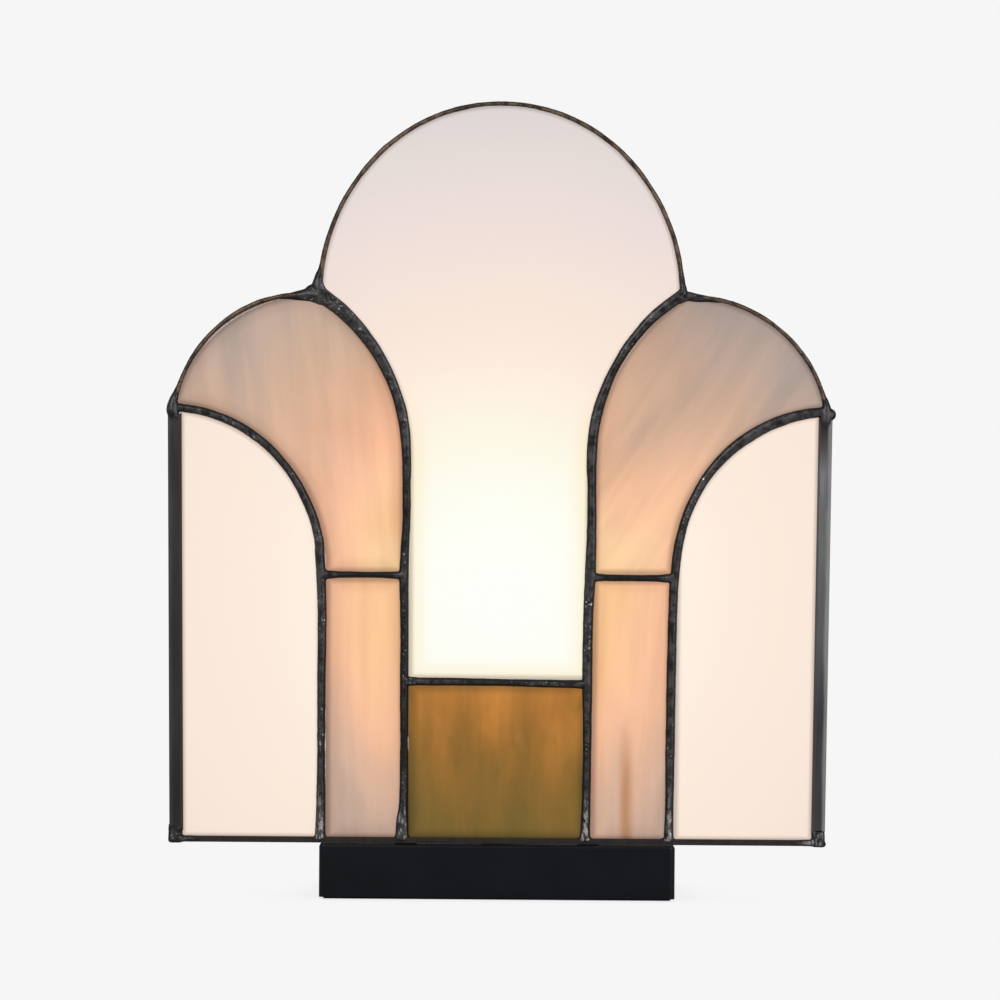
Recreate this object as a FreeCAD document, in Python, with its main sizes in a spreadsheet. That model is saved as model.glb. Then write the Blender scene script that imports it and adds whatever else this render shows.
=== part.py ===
import FreeCAD, Part
import math
import os

import Sketcher

# Table lamp with a flat leaded-glass front panel on a black steel base.
# X is to the right, Y to the back and Z up.  The origin is on the surface the lamp stands on,
# under the middle of the whole lamp.  The glass faces the front, which is -Y.
# Lengths are in millimetres.

V = FreeCAD.Vector
DOC = FreeCAD.newDocument("panel_lamp")

# ---------------------------------------------------------------------------------------------
# Driving dimensions: alias, value, meaning
# ---------------------------------------------------------------------------------------------
TABLE = [
    ("base_width", 164.8, "steel base, left to right"),
    ("base_depth", 98.0, "steel base, front to back"),
    ("base_y", -1.0, "middle of the base, front to back"),
    ("base_top", 25.2, "top face of the base above the surface"),
    ("base_lift", 0.8, "gap under the rim of the base"),
    ("base_wall", 1.2, "sheet thickness of the base"),
    ("base_corner", 3.0, "radius of the base's upright edges"),
    ("base_edge", 1.2, "radius of the base's top edges"),
    ("felt_thick", 1.0, "felt under the floor plate"),
    ("floor_thick", 1.5, "floor plate that closes the base"),
    ("floor_gap", 0.3, "clearance round the floor plate"),
    ("post_x", 70.0, "screw posts from the middle, left and right"),
    ("post_y", 38.0, "screw posts from the middle of the base, front and back"),
    ("post_radius", 3.5, "screw post"),
    ("ballast_width", 84.0, "steel ballast plate, left to right"),
    ("ballast_depth", 24.0, "steel ballast plate, front to back"),
    ("ballast_thick", 16.0, "steel ballast plate, height"),
    ("ballast_x", -18.0, "middle of the ballast plate, left to right"),
    ("ballast_y", 30.0, "middle of the ballast plate, front to back"),
    ("panel_y", -42.5, "middle plane of the glass"),
    ("panel_foot", 25.6, "lower edge of the leaded panel"),
    ("panel_crown", 370.1, "top of the panel outline"),
    ("glass_thick", 3.0, "sheet glass"),
    ("glass_gap", 0.9, "glass edge from the middle of a seam"),
    ("foil_thick", 0.15, "tinned copper foil"),
    ("foil_lap", 1.15, "foil turned over onto each face of the glass"),
    ("seam_width", 4.2, "solder seam, side to side"),
    ("seam_rise", 1.2, "solder seam above the foil"),
    ("bar_width", 3.2, "solder seam of the short crossbars"),
    ("rim_out", 0.2, "edge solder outside the panel outline"),
    ("rim_in", 2.4, "edge solder inside the panel outline"),
    ("rim_rise", 0.6, "edge solder above the foil"),
    ("dome_radius", 81.5, "crown of the panel outline"),
    ("flank_z", 345.0, "where the crown passes into the wider arcs of its flanks"),
    ("crotch_x", 85.2, "where the round top meets the shoulders"),
    ("crotch_z", 281.0, "where the round top meets the shoulders"),
    ("shoulder_radius", 66.0, "shoulder, from the round top to the corner"),
    ("corner_x", 152.7, "upper outer corner of the panel outline"),
    ("corner_z", 227.6, "upper outer corner of the panel outline"),
    ("side_foot_x", 150.5, "lower outer corner of the panel outline"),
    ("inner_foot_x", 42.2, "inner seam at its foot"),
    ("inner_bend_x", 43.3, "inner seam where its curve starts"),
    ("inner_bend_z", 205.0, "inner seam where its curve starts"),
    ("outer_foot_x", 80.7, "outer seam at its foot"),
    ("outer_bend_x", 81.3, "outer seam where its curve starts"),
    ("outer_bend_z", 152.0, "outer seam where its curve starts"),
    ("crossbar_z", 149.8, "short seam between inner and outer seam"),
    ("sill_z", 100.7, "seam over the amber pane"),
    ("came_out", 1.5, "side channel outside the panel outline"),
    ("came_in", 4.9, "side channel inside the panel outline"),
    ("came_wall", 0.8, "side channel, thickness of a leaf"),
    ("foot_came_rise", 2.8, "bottom channel, height of its face"),
    ("crotch_joint", 5.5, "radius of the solder at the crotch"),
    ("corner_joint", 4.4, "radius of the solder at the upper corner"),
    ("corner_inset", 1.0, "middle of that solder, inside the corner"),
    ("foot_joint", 4.4, "radius of the solder at the lower corner"),
    ("joint_rise", 1.5, "solder of a joint above the foil"),
    ("bracket_width", 10.0, "panel bracket, side to side"),
    ("bracket_thick", 1.0, "panel bracket sheet"),
    ("bracket_height", 26.0, "upright leg of a panel bracket"),
    ("bracket_reach", 14.0, "foot of a panel bracket, front to back"),
    ("screw_radius", 1.5, "M3 screw"),
    ("screw_hole", 1.7, "clearance hole of an M3 screw"),
    ("head_radius", 2.75, "pan head of an M3 screw"),
    ("head_height", 1.8, "pan head of an M3 screw"),
    ("nut_flats", 5.5, "M3 nut across its flats"),
    ("nut_height", 2.4, "M3 nut"),
    ("lamp_y", 8.0, "axis of the lampholder and the bulb"),
    ("nipple_radius", 4.9, "M10 x 1 threaded tube"),
    ("nipple_bore", 3.9, "bore of the threaded tube"),
    ("nipple_foot", 15.0, "lower end of the threaded tube"),
    ("nipple_top", 43.0, "upper end of the threaded tube"),
    ("hub_bore", 5.0, "hole that the threaded tube passes through"),
    ("tube_nut_flats", 14.0, "nut of the threaded tube across its flats"),
    ("tube_nut_height", 3.0, "nut of the threaded tube"),
    ("washer_radius", 9.0, "washer of the threaded tube"),
    ("washer_thick", 1.2, "washer of the threaded tube"),
    ("collar_radius", 9.0, "turned spacer under the lampholder"),
    ("collar_height", 8.0, "turned spacer under the lampholder"),
    ("cup_height", 20.0, "lower cup of the lampholder"),
    ("holder_radius", 20.0, "lampholder, widest"),
    ("holder_wall", 2.0, "lampholder moulding"),
    ("holder_mouth", 18.4, "lampholder at its mouth"),
    ("holder_top", 87.0, "mouth of the lampholder above the surface"),
    ("block_height", 7.0, "insulating contact block"),
    ("contact_z", 62.0, "where the bulb's tip meets the sprung contact"),
    ("shell_radius", 13.6, "inside of the brass screw shell"),
    ("shell_wall", 0.5, "brass screw shell"),
    ("shell_height", 20.0, "brass screw shell"),
    ("cap_radius", 13.1, "E27 cap over its thread"),
    ("cap_wall", 0.5, "E27 cap"),
    ("cap_height", 20.0, "E27 cap, screw part"),
    ("tip_radius", 4.5, "solder tip of the bulb"),
    ("tip_height", 1.0, "solder tip of the bulb"),
    ("insulator_height", 3.2, "glass insulator of the cap"),
    ("globe_radius", 30.0, "bulb, widest"),
    ("globe_z", 139.0, "middle of the bulb's globe above the surface"),
    ("neck_radius", 12.5, "bulb neck"),
    ("neck_z", 92.0, "where the bulb's neck starts to widen"),
    ("bulb_wall", 1.0, "bulb glass"),
    ("wire_radius", 1.1, "insulated wire"),
    ("wire_z", 8.0, "level of the wires inside the base"),
    ("wire_bend", 6.0, "bend radius of the wires"),
    ("wire_turn", 3.5, "bend radius of the wires at the terminals"),
    ("wire_spacing", 3.0, "between the two wires"),
    ("block_x", 26.0, "near face of the terminal block"),
    ("gland_x", 36.0, "cord inlet, from the middle"),
    ("gland_z", 12.5, "cord inlet above the surface"),
    ("gland_bore", 3.6, "bore of the cord inlet"),
    ("gland_radius", 5.0, "cord inlet, through the wall"),
    ("gland_flange", 7.0, "cord inlet, flange"),
]

SHEET = DOC.addObject("Spreadsheet::Sheet", "Sizes")
for row, (alias, value, meaning) in enumerate(TABLE, start=1):
    SHEET.set(f"A{row}", alias)
    SHEET.set(f"B{row}", str(value))
    SHEET.setAlias(f"B{row}", alias)
    SHEET.set(f"C{row}", meaning)
DOC.recompute()


class Size:
    """A length that knows its number and the spreadsheet expression it comes from."""

    def __init__(self, value, text=None):
        self.value = float(value)
        self.text = text

    def join(self, other, number, sign):
        other = as_size(other)
        if self.text is None and other.text is None:
            return Size(number(self.value, other.value))
        return Size(number(self.value, other.value), f"({self.words()} {sign} {other.words()})")

    def words(self):
        return self.text if self.text is not None else f"({self.value:.9g})"

    def __add__(self, other):
        return self.join(other, lambda a, b: a + b, "+")

    def __sub__(self, other):
        return self.join(other, lambda a, b: a - b, "-")

    def __mul__(self, other):
        return self.join(other, lambda a, b: a * b, "*")

    def __truediv__(self, other):
        return self.join(other, lambda a, b: a / b, "/")

    def __radd__(self, other):
        return as_size(other) + self

    def __rsub__(self, other):
        return as_size(other) - self

    def __rmul__(self, other):
        return as_size(other) * self

    def __neg__(self):
        return Size(0) - self


def as_size(value):
    return value if isinstance(value, Size) else Size(value)


def root(size):
    if size.text is None:
        return Size(math.sqrt(size.value))
    return Size(math.sqrt(size.value), f"sqrt({size.text})")


D = {alias: Size(value, f"Sizes.{alias}") for alias, value, meaning in TABLE}


def bind(thing, attribute, size):
    """Sets an attribute to a size, and binds it to the spreadsheet if the size comes from there."""
    size = as_size(size)
    if "." not in attribute:
        setattr(thing, attribute, size.value)
    if size.text is not None:
        thing.setExpression(attribute, size.text)


def place(thing, x=0, y=0, z=0, turn=None):
    """Moves a thing to x, y, z, after turning it if a rotation is given."""
    spot = [as_size(c) for c in (x, y, z)]
    turned = turn if turn is not None else thing.Placement.Rotation
    thing.Placement = FreeCAD.Placement(V(*[c.value for c in spot]), turned)
    for letter, coordinate in zip("xyz", spot):
        if coordinate.text is not None:
            thing.setExpression(f"Placement.Base.{letter}", coordinate.text)


# ---------------------------------------------------------------------------------------------
# Flat geometry: points are (x, y) pairs of sizes, arcs know their centre and radius
# ---------------------------------------------------------------------------------------------
def line(end):
    return ("line", end, None, None, 0)


def arc(end, centre, radius, turn):
    """An arc to a point.  turn is 1 for anticlockwise and -1 for clockwise."""
    return ("arc", end, centre, radius, turn)


def mirrored(side, start, pieces):
    """The same outline on the right for side 1, and its mirror image on the left for side -1."""
    if side == 1:
        return start, pieces

    def flip(point):
        return None if point is None else (-as_size(point[0]), point[1])

    return flip(start), [(k, flip(e), flip(c), r, -t) for k, e, c, r, t in pieces]


def numbers(point):
    return V(as_size(point[0]).value, as_size(point[1]).value, 0)


def pin_point(sketch, geo, pos, point):
    """Fixes a vertex of a sketch at a point, coordinate by coordinate."""
    axes = (("DistanceX", -2), ("DistanceY", -1))
    for (kind, axis), coordinate in zip(axes, point):
        size = as_size(coordinate)
        if abs(size.value) < 1e-9:
            sketch.addConstraint(Sketcher.Constraint("PointOnObject", geo, pos, axis))
            continue
        index = sketch.addConstraint(Sketcher.Constraint(kind, -1, 1, geo, pos, size.value))
        if size.text is not None:
            sketch.setExpression(f"Constraints[{index}]", size.text)


def draw(sketch, start, pieces, closed=True):
    """Draws lines and arcs end to end, and constrains every vertex and radius."""
    tail = start
    first = previous = None
    for number, (kind, end, centre, radius, turn) in enumerate(pieces):
        a, b = numbers(tail), numbers(end)
        if kind == "line":
            geo = sketch.addGeometry(Part.LineSegment(a, b))
            tail_pos, head_pos = 1, 2
        else:
            c = numbers(centre)
            angles = [math.atan2(p.y - c.y, p.x - c.x) for p in (a, b)]
            if turn < 0:
                angles.reverse()
            if angles[1] <= angles[0]:
                angles[1] += 2 * math.pi
            circle = Part.Circle(c, V(0, 0, 1), as_size(radius).value)
            geo = sketch.addGeometry(Part.ArcOfCircle(circle, *angles))
            tail_pos, head_pos = (1, 2) if turn > 0 else (2, 1)
        if previous is None:
            first = (geo, tail_pos)
            pin_point(sketch, geo, tail_pos, start)
        else:
            sketch.addConstraint(Sketcher.Constraint("Coincident", *previous, geo, tail_pos))
        if closed and number == len(pieces) - 1:
            sketch.addConstraint(Sketcher.Constraint("Coincident", geo, head_pos, *first))
        else:
            pin_point(sketch, geo, head_pos, end)
        if kind == "arc":
            index = sketch.addConstraint(
                Sketcher.Constraint("Radius", geo, as_size(radius).value)
            )
            if as_size(radius).text is not None:
                sketch.setExpression(f"Constraints[{index}]", as_size(radius).text)
        previous = (geo, head_pos)
        tail = end


def draw_circle(sketch, centre, radius):
    geo = sketch.addGeometry(Part.Circle(numbers(centre), V(0, 0, 1), as_size(radius).value))
    pin_point(sketch, geo, 3, centre)
    index = sketch.addConstraint(Sketcher.Constraint("Radius", geo, as_size(radius).value))
    if as_size(radius).text is not None:
        sketch.setExpression(f"Constraints[{index}]", as_size(radius).text)


def rectangle(x0, y0, x1, y1):
    """The start and pieces of a rectangle."""
    return (x0, y0), [line((x1, y0)), line((x1, y1)), line((x0, y1)), line((x0, y0))]


def polygon(points):
    return points[0], [line(p) for p in points[1:] + points[:1]]


def tangent_arc(foot, bend, end):
    """Centre and radius of the arc that leaves the line foot-bend smoothly and reaches end.
    The arc curves to the right of the line."""
    dx, dy = bend[0] - foot[0], bend[1] - foot[1]
    length = root(dx * dx + dy * dy)
    nx, ny = dy / length, -dx / length
    ex, ey = end[0] - bend[0], end[1] - bend[1]
    radius = (ex * ex + ey * ey) / (2 * (ex * nx + ey * ny))
    return (bend[0] + radius * nx, bend[1] + radius * ny), radius


def chord_centre(start, end, radius):
    """Centre of the arc of that radius that bulges to the left of the chord start-end."""
    dx, dy = end[0] - start[0], end[1] - start[1]
    half_squared = (dx * dx + dy * dy) / 4
    back = root((radius * radius - half_squared) / (4 * half_squared))
    return ((start[0] + end[0]) / 2 + dy * back, (start[1] + end[1]) / 2 - dx * back)


# ---------------------------------------------------------------------------------------------
# Bodies and solids
# ---------------------------------------------------------------------------------------------
UPRIGHT = FreeCAD.Rotation(V(1, 0, 0), 90)
PARTS = []


def keep(thing, label):
    """Names a finished sub-part and lists it for export."""
    thing.Label = label
    PARTS.append(thing)
    return thing


def new_body(name):
    return DOC.addObject("PartDesign::Body", name)


def body_sketch(body, name, role, lift=0):
    """A sketch on one of the body's own origin planes, raised along the plane's normal."""
    sketch = body.newObject("Sketcher::SketchObject", name)
    plane = [f for f in body.Origin.OriginFeatures if f.Role == role][0]
    sketch.AttachmentSupport = [(plane, "")]
    sketch.MapMode = "FlatFace"
    lift = as_size(lift)
    sketch.AttachmentOffset = FreeCAD.Placement(V(0, 0, lift.value), FreeCAD.Rotation())
    if lift.text is not None:
        sketch.setExpression("AttachmentOffset.Base.z", lift.text)
    return sketch


def pad(body, sketch, length, midplane=False):
    feature = body.newObject("PartDesign::Pad", "Pad")
    feature.Profile = sketch
    feature.Midplane = midplane
    bind(feature, "Length", length)
    return feature


def pocket(body, sketch, length, upwards):
    """Cuts a sketch out of the body, along the sketch's normal if upwards, else against it."""
    feature = body.newObject("PartDesign::Pocket", "Pocket")
    feature.Profile = sketch
    feature.Reversed = upwards
    bind(feature, "Length", length)
    return feature


def rounded(body, feature, picks, radius):
    """Fillets the edges of a feature that picks accepts."""
    DOC.recompute()
    names = [f"Edge{i + 1}" for i, e in enumerate(feature.Shape.Edges) if picks(e)]
    fillet = body.newObject("PartDesign::Fillet", "Fillet")
    fillet.Base = (feature, names)
    bind(fillet, "Radius", radius)
    return fillet


def is_upright(edge):
    a, b = edge.Vertexes[0].Point, edge.Vertexes[-1].Point
    return abs(a.z - b.z) > 0.5 and math.hypot(a.x - b.x, a.y - b.y) < 1e-6


def turned(label, start, pieces, y=0):
    """A body of revolution about the upright axis at x 0 and y."""
    body = new_body(label)
    sketch = body_sketch(body, "Profile", "XZ_Plane")
    draw(sketch, start, pieces)
    feature = body.newObject("PartDesign::Revolution", "Revolution")
    feature.Profile = sketch
    feature.ReferenceAxis = (sketch, ["V_Axis"])
    feature.Angle = 360
    place(body, y=y)
    return keep(body, label)


def flat_sketch(name, outlines, closed=True):
    """An upright sketch in the middle plane of the glass, for the Part tools."""
    sketch = DOC.addObject("Sketcher::SketchObject", name)
    place(sketch, y=D["panel_y"], turn=UPRIGHT)
    for start, pieces in outlines:
        draw(sketch, start, pieces, closed)
    return sketch


def grown(source, amount, join="Intersection"):
    """The outline of a sketch moved outwards by an amount, or inwards if it is negative."""
    offset = DOC.addObject("Part::Offset2D", "Offset")
    offset.Source = source
    offset.Mode = "Pipe"
    offset.Join = join
    bind(offset, "Value", amount)
    return offset


def thick(source, depth):
    """A flat outline made solid, to half the depth on each side of the glass."""
    solid = DOC.addObject("Part::Extrusion", "Slab")
    solid.Base = source
    solid.DirMode = "Custom"
    solid.Dir = V(0, 1, 0)
    solid.Solid = True
    solid.FaceMakerClass = "Part::FaceMakerBullseye"
    solid.Symmetric = True
    bind(solid, "LengthFwd", depth)
    return solid


def cut(base, *tools):
    for tool in tools:
        result = DOC.addObject("Part::Cut", "Cut")
        result.Base, result.Tool = base, tool
        base = result
    return base


def common(base, tool):
    result = DOC.addObject("Part::Common", "Common")
    result.Base, result.Tool = base, tool
    return result


def fused(*things):
    result = DOC.addObject("Part::MultiFuse", "Fusion")
    result.Shapes = list(things)
    return result


def group(*things):
    """Separate solids that share one node."""
    result = DOC.addObject("Part::Compound", "Group")
    result.Links = list(things)
    return result


def cylinder(radius, height, x=0, y=0, z=0, turn=None):
    thing = DOC.addObject("Part::Cylinder", "Cylinder")
    bind(thing, "Radius", radius)
    bind(thing, "Height", height)
    place(thing, x, y, z, turn)
    return thing


def block(length, width, height, x=0, y=0, z=0):
    """A box whose middle is at x and y, and whose underside is at z."""
    thing = DOC.addObject("Part::Box", "Box")
    for name, size in (("Length", length), ("Width", width), ("Height", height)):
        bind(thing, name, size)
    place(thing, x - as_size(length) / 2, y - as_size(width) / 2, z)
    return thing


def nut(flats, height, bore, x, y, z):
    """A hexagon nut that stands on z, with a plain bore."""
    thing = DOC.addObject("Part::Prism", "Hexagon")
    thing.Polygon = 6
    bind(thing, "Circumradius", flats / root(Size(3)))
    bind(thing, "Height", height)
    place(thing, x, y, z)
    return cut(thing, cylinder(bore, height + 2, x, y, z - 1))


def screw(x, y, under_head, length, upside_down=False):
    """A pan-head M3 screw.  Its thread hangs below the head, or stands over it if upside down."""
    if upside_down:
        head = cylinder(D["head_radius"], D["head_height"], x, y, under_head - D["head_height"])
        thread = cylinder(D["screw_radius"], length, x, y, under_head)
    else:
        head = cylinder(D["head_radius"], D["head_height"], x, y, under_head)
        thread = cylinder(D["screw_radius"], length, x, y, under_head - length)
    return fused(head, thread)


def swept(path, section):
    """A section carried along a path, both of them sketches."""
    sweep = DOC.addObject("Part::Sweep", "Sweep")
    sweep.Sections = [section]
    sweep.Spine = (path, [])
    sweep.Solid = True
    sweep.Transition = "Right corner"
    return sweep


# ---------------------------------------------------------------------------------------------
# The leaded panel: seam lines and outlines
# ---------------------------------------------------------------------------------------------
FOOT = D["panel_foot"] + 1.4
CROWN_Z = D["panel_crown"] - D["dome_radius"]
CROTCH = (D["crotch_x"], D["crotch_z"])
FLANK_RISE = D["flank_z"] - CROWN_Z
FLANK = (root(D["dome_radius"] * D["dome_radius"] - FLANK_RISE * FLANK_RISE), D["flank_z"])
CORNER = (D["corner_x"], D["corner_z"])
SIDE_FOOT = (D["side_foot_x"], FOOT)
INNER_FOOT = (D["inner_foot_x"], FOOT)
INNER_BEND = (D["inner_bend_x"], D["inner_bend_z"])
FLANK_CENTRE, FLANK_RADIUS = tangent_arc(
    (FLANK[0] - FLANK_RISE, FLANK[1] + FLANK[0]), FLANK, CROTCH
)
INNER_CENTRE, INNER_RADIUS = tangent_arc(INNER_FOOT, INNER_BEND, CROTCH)
OUTER_FOOT = (D["outer_foot_x"], FOOT)
OUTER_BEND = (D["outer_bend_x"], D["outer_bend_z"])
OUTER_CENTRE, OUTER_RADIUS = tangent_arc(OUTER_FOOT, OUTER_BEND, CORNER)


def seam_x(foot, bend, z):
    """Where a seam's straight part crosses a height."""
    return foot[0] + (bend[0] - foot[0]) * ((z - foot[1]) / (bend[1] - foot[1]))


INNER_SILL = (seam_x(INNER_FOOT, INNER_BEND, D["sill_z"]), D["sill_z"])
INNER_BAR = (seam_x(INNER_FOOT, INNER_BEND, D["crossbar_z"]), D["crossbar_z"])
OUTER_BAR = (seam_x(OUTER_FOOT, OUTER_BEND, D["crossbar_z"]), D["crossbar_z"])


def left(point):
    return (-point[0], point[1])


SHOULDER_CENTRE = chord_centre(CROTCH, CORNER, D["shoulder_radius"])


def shoulder_down():
    """From the crotch to the upper outer corner, on the right side."""
    return arc(CORNER, SHOULDER_CENTRE, D["shoulder_radius"], -1)


def shoulder_up():
    """From the upper outer corner to the crotch, on the left side."""
    return arc(left(CROTCH), left(SHOULDER_CENTRE), D["shoulder_radius"], -1)


def over_the_dome():
    """From the left crotch over the crown to the right crotch."""
    return [
        arc(left(FLANK), left(FLANK_CENTRE), FLANK_RADIUS, -1),
        arc(FLANK, (0, CROWN_Z), D["dome_radius"], -1),
        arc(CROTCH, FLANK_CENTRE, FLANK_RADIUS, -1),
    ]


def panel_outline():
    return left(SIDE_FOOT), [
        line(left(CORNER)),
        shoulder_up(),
        *over_the_dome(),
        shoulder_down(),
        line(SIDE_FOOT),
        line(left(SIDE_FOOT)),
    ]


def dome_outline():
    return left(INNER_SILL), [
        line(left(INNER_BEND)),
        arc(left(CROTCH), left(INNER_CENTRE), INNER_RADIUS, 1),
        *over_the_dome(),
        arc(INNER_BEND, INNER_CENTRE, INNER_RADIUS, 1),
        line(INNER_SILL),
        line(left(INNER_SILL)),
    ]


def amber_outline():
    return polygon([left(INNER_FOOT), left(INNER_SILL), INNER_SILL, INNER_FOOT])


def arch_outline():
    return INNER_BAR, [
        line(INNER_BEND),
        arc(CROTCH, INNER_CENTRE, INNER_RADIUS, -1),
        shoulder_down(),
        arc(OUTER_BEND, OUTER_CENTRE, OUTER_RADIUS, 1),
        line(OUTER_BAR),
        line(INNER_BAR),
    ]


def column_outline():
    return polygon([INNER_FOOT, INNER_BAR, OUTER_BAR, OUTER_FOOT])


def wing_outline():
    return OUTER_FOOT, [
        line(OUTER_BEND),
        arc(CORNER, OUTER_CENTRE, OUTER_RADIUS, -1),
        line(SIDE_FOOT),
        line(OUTER_FOOT),
    ]


FOILED = D["glass_thick"] + 2 * D["foil_thick"]
WEB = D["glass_gap"] - D["foil_thick"]
FACE = FOILED / 2
SIDES = (("right", 1), ("left", -1))


def glass_and_foil(name, outline):
    """One pane and the foil round its edge.  Returns the room of both, and the foil."""
    sketch = flat_sketch(f"{name}_outline", [outline])
    pane = thick(grown(sketch, -D["glass_gap"]), D["glass_thick"])
    keep(pane, f"glass_{name}")
    room = thick(grown(sketch, -WEB), FOILED)
    window = thick(grown(sketch, -(D["glass_gap"] + D["foil_lap"])), FOILED + 2)
    return room, cut(room, window, pane)


ROOMS = {}
for key, outline in (("centre_dome", dome_outline()), ("centre_amber", amber_outline())):
    ROOMS[key], foil = glass_and_foil(key, outline)
    keep(foil, f"foil_{key}")
for shape, plural, outline in (
    ("arch", "arches", arch_outline()),
    ("column", "columns", column_outline()),
    ("wing", "wings", wing_outline()),
):
    foils = []
    for side_name, side in SIDES:
        key = f"{side_name}_{shape}"
        ROOMS[key], foil = glass_and_foil(key, mirrored(side, *outline))
        foils.append(foil)
    keep(group(*foils), f"foil_{plural}")

OUTLINE = flat_sketch("panel_outline", [panel_outline()])


# ---------------------------------------------------------------------------------------------
# Solder joints, side channels and edge solder
# ---------------------------------------------------------------------------------------------
ACROSS = FreeCAD.Rotation(V(1, 0, 0), -90)


def puck(radius, rise, x, z):
    """A short cylinder through the panel, as deep as the foiled glass and a rise on each side."""
    depth = FOILED + 2 * rise
    return cylinder(radius, depth, x, D["panel_y"] - depth / 2, z, ACROSS)


def joint(radius, x, z, *rooms):
    return cut(puck(radius, D["joint_rise"], x, z), *[ROOMS[name] for name in rooms])


SKIN = thick(grown(OUTLINE, D["came_out"] + 0.4), FOILED + 2 * D["joint_rise"])
CORNER_SPOT = (CORNER[0] - D["corner_inset"], CORNER[1] - D["corner_inset"] / 2)
FOOT_SPOT = (SIDE_FOOT[0] - 1.2, SIDE_FOOT[1] + 1.5)
crotch_joints, corner_joints, foot_joints = {}, {}, {}
for side_name, side in SIDES:
    crotch_joints[side_name] = joint(
        D["crotch_joint"], side * CROTCH[0], CROTCH[1], "centre_dome", f"{side_name}_arch"
    )
    corner_joints[side_name] = joint(
        D["corner_joint"], side * CORNER_SPOT[0], CORNER_SPOT[1],
        f"{side_name}_arch", f"{side_name}_wing",
    )
    foot_joints[side_name] = joint(
        D["foot_joint"], side * FOOT_SPOT[0], FOOT_SPOT[1], f"{side_name}_wing"
    )
keep(group(*[common(j, SKIN) for j in crotch_joints.values()]), "solder_crotch_joints")
lower_joints = [common(j, SKIN) for j in foot_joints.values()]
keep(group(*corner_joints.values(), *lower_joints), "solder_corner_joints")


def keep_out(side_name):
    """What the channels, rims and seams of one side leave to the joints."""
    side = dict(SIDES)[side_name]
    return [
        puck(D["crotch_joint"], 6, side * CROTCH[0], CROTCH[1]),
        puck(D["corner_joint"], 6, side * CORNER_SPOT[0], CORNER_SPOT[1]),
        puck(D["foot_joint"], 6, side * FOOT_SPOT[0], FOOT_SPOT[1]),
    ]


CLEAR = {side_name: keep_out(side_name) for side_name, side in SIDES}
CAME_DEPTH = FOILED + 2 * D["came_wall"]
for side_name, side in SIDES:
    top_z = CORNER[1] - 2.9
    top_out = (CORNER[0] + D["came_out"], top_z)
    top_in = (CORNER[0] - D["came_in"], top_z)
    foot_out = (SIDE_FOOT[0] + D["came_out"], FOOT_SPOT[1])
    foot_in = (SIDE_FOOT[0] - D["came_in"], FOOT_SPOT[1])
    face = flat_sketch(
        f"{side_name}_channel", [mirrored(side, *polygon([foot_in, top_in, top_out, foot_out]))]
    )
    channel = cut(thick(face, CAME_DEPTH), ROOMS[f"{side_name}_wing"], *CLEAR[side_name])
    keep(channel, f"channel_{side_name}_side")

FOOT_END = FOOT_SPOT[0]
foot_face = flat_sketch(
    "foot_channel",
    [rectangle(-FOOT_END, D["panel_foot"], FOOT_END, D["panel_foot"] + D["foot_came_rise"])],
)
FOOT_GLASS = [ROOMS[name] for name in ROOMS if "arch" not in name and "dome" not in name]
keep(
    cut(thick(foot_face, CAME_DEPTH), *FOOT_GLASS, CLEAR["left"][2], CLEAR["right"][2]),
    "channel_foot",
)

RIM = cut(
    thick(grown(OUTLINE, D["rim_out"]), FOILED + 2 * D["rim_rise"]),
    thick(grown(OUTLINE, -D["rim_in"], "Arc"), FOILED + 4),
    thick(grown(OUTLINE, -WEB, "Arc"), FOILED),
)


def rim_part(label, x0, z0, x1, z1, *clear):
    zone = flat_sketch(f"{label}_zone", [rectangle(x0, z0, x1, z1)])
    keep(cut(common(RIM, thick(zone, 20)), *clear), label)


rim_part("rim_dome", -CROTCH[0] - 3, CROTCH[1], CROTCH[0] + 3, D["panel_crown"] + 5,
         CLEAR["left"][0], CLEAR["right"][0])
rim_part("rim_right_shoulder", CROTCH[0] + 3, CORNER[1] + 1, CORNER[0] + 5, CROTCH[1] + 8,
         CLEAR["right"][0], CLEAR["right"][1])
rim_part("rim_left_shoulder", -CORNER[0] - 5, CORNER[1] + 1, -CROTCH[0] - 3, CROTCH[1] + 8,
         CLEAR["left"][0], CLEAR["left"][1])


# ---------------------------------------------------------------------------------------------
# Solder seams: a bead on each face of the glass, joined through the gap between the panes
# ---------------------------------------------------------------------------------------------
SEAM_START = D["panel_foot"] + D["foot_came_rise"]


def bead_section(name, width, turn, x, z):
    """The H-shaped section of a seam, across a path that starts at x and z."""
    half = width / 2
    rise = D["seam_rise"]
    radius = (half * half + rise * rise) / (2 * rise)
    sunk = FACE + rise - radius
    sketch = DOC.addObject("Sketcher::SketchObject", name)
    place(sketch, x, D["panel_y"], z, turn)
    draw(sketch, (half, FACE), [
        arc((-half, FACE), (0, sunk), radius, 1),
        line((-WEB, FACE)),
        line((-WEB, -FACE)),
        line((-half, -FACE)),
        arc((half, -FACE), (0, -sunk), radius, 1),
        line((WEB, -FACE)),
        line((WEB, FACE)),
        line((half, FACE)),
    ])
    return sketch


LEVEL = FreeCAD.Rotation()
SIDEWAYS = FreeCAD.Rotation(V(0, 1, 0), 90)
HALF_SEAM = D["seam_width"] / 2


def seam(label, foot_x, start, pieces, side, clear):
    path = flat_sketch(f"{label}_path", [mirrored(side, start, pieces)], closed=False)
    section = bead_section(f"{label}_section", D["seam_width"], LEVEL, side * foot_x, SEAM_START)
    return keep(cut(swept(path, section), *clear), label)


def bar(label, x0, x1, z, width):
    """A level seam that ends on the sides of two upright ones."""
    path = flat_sketch(f"{label}_path", [((x0, z), [line((x1, z))])], closed=False)
    section = bead_section(f"{label}_section", width, SIDEWAYS, x0, z)
    return keep(swept(path, section), label)


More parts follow.
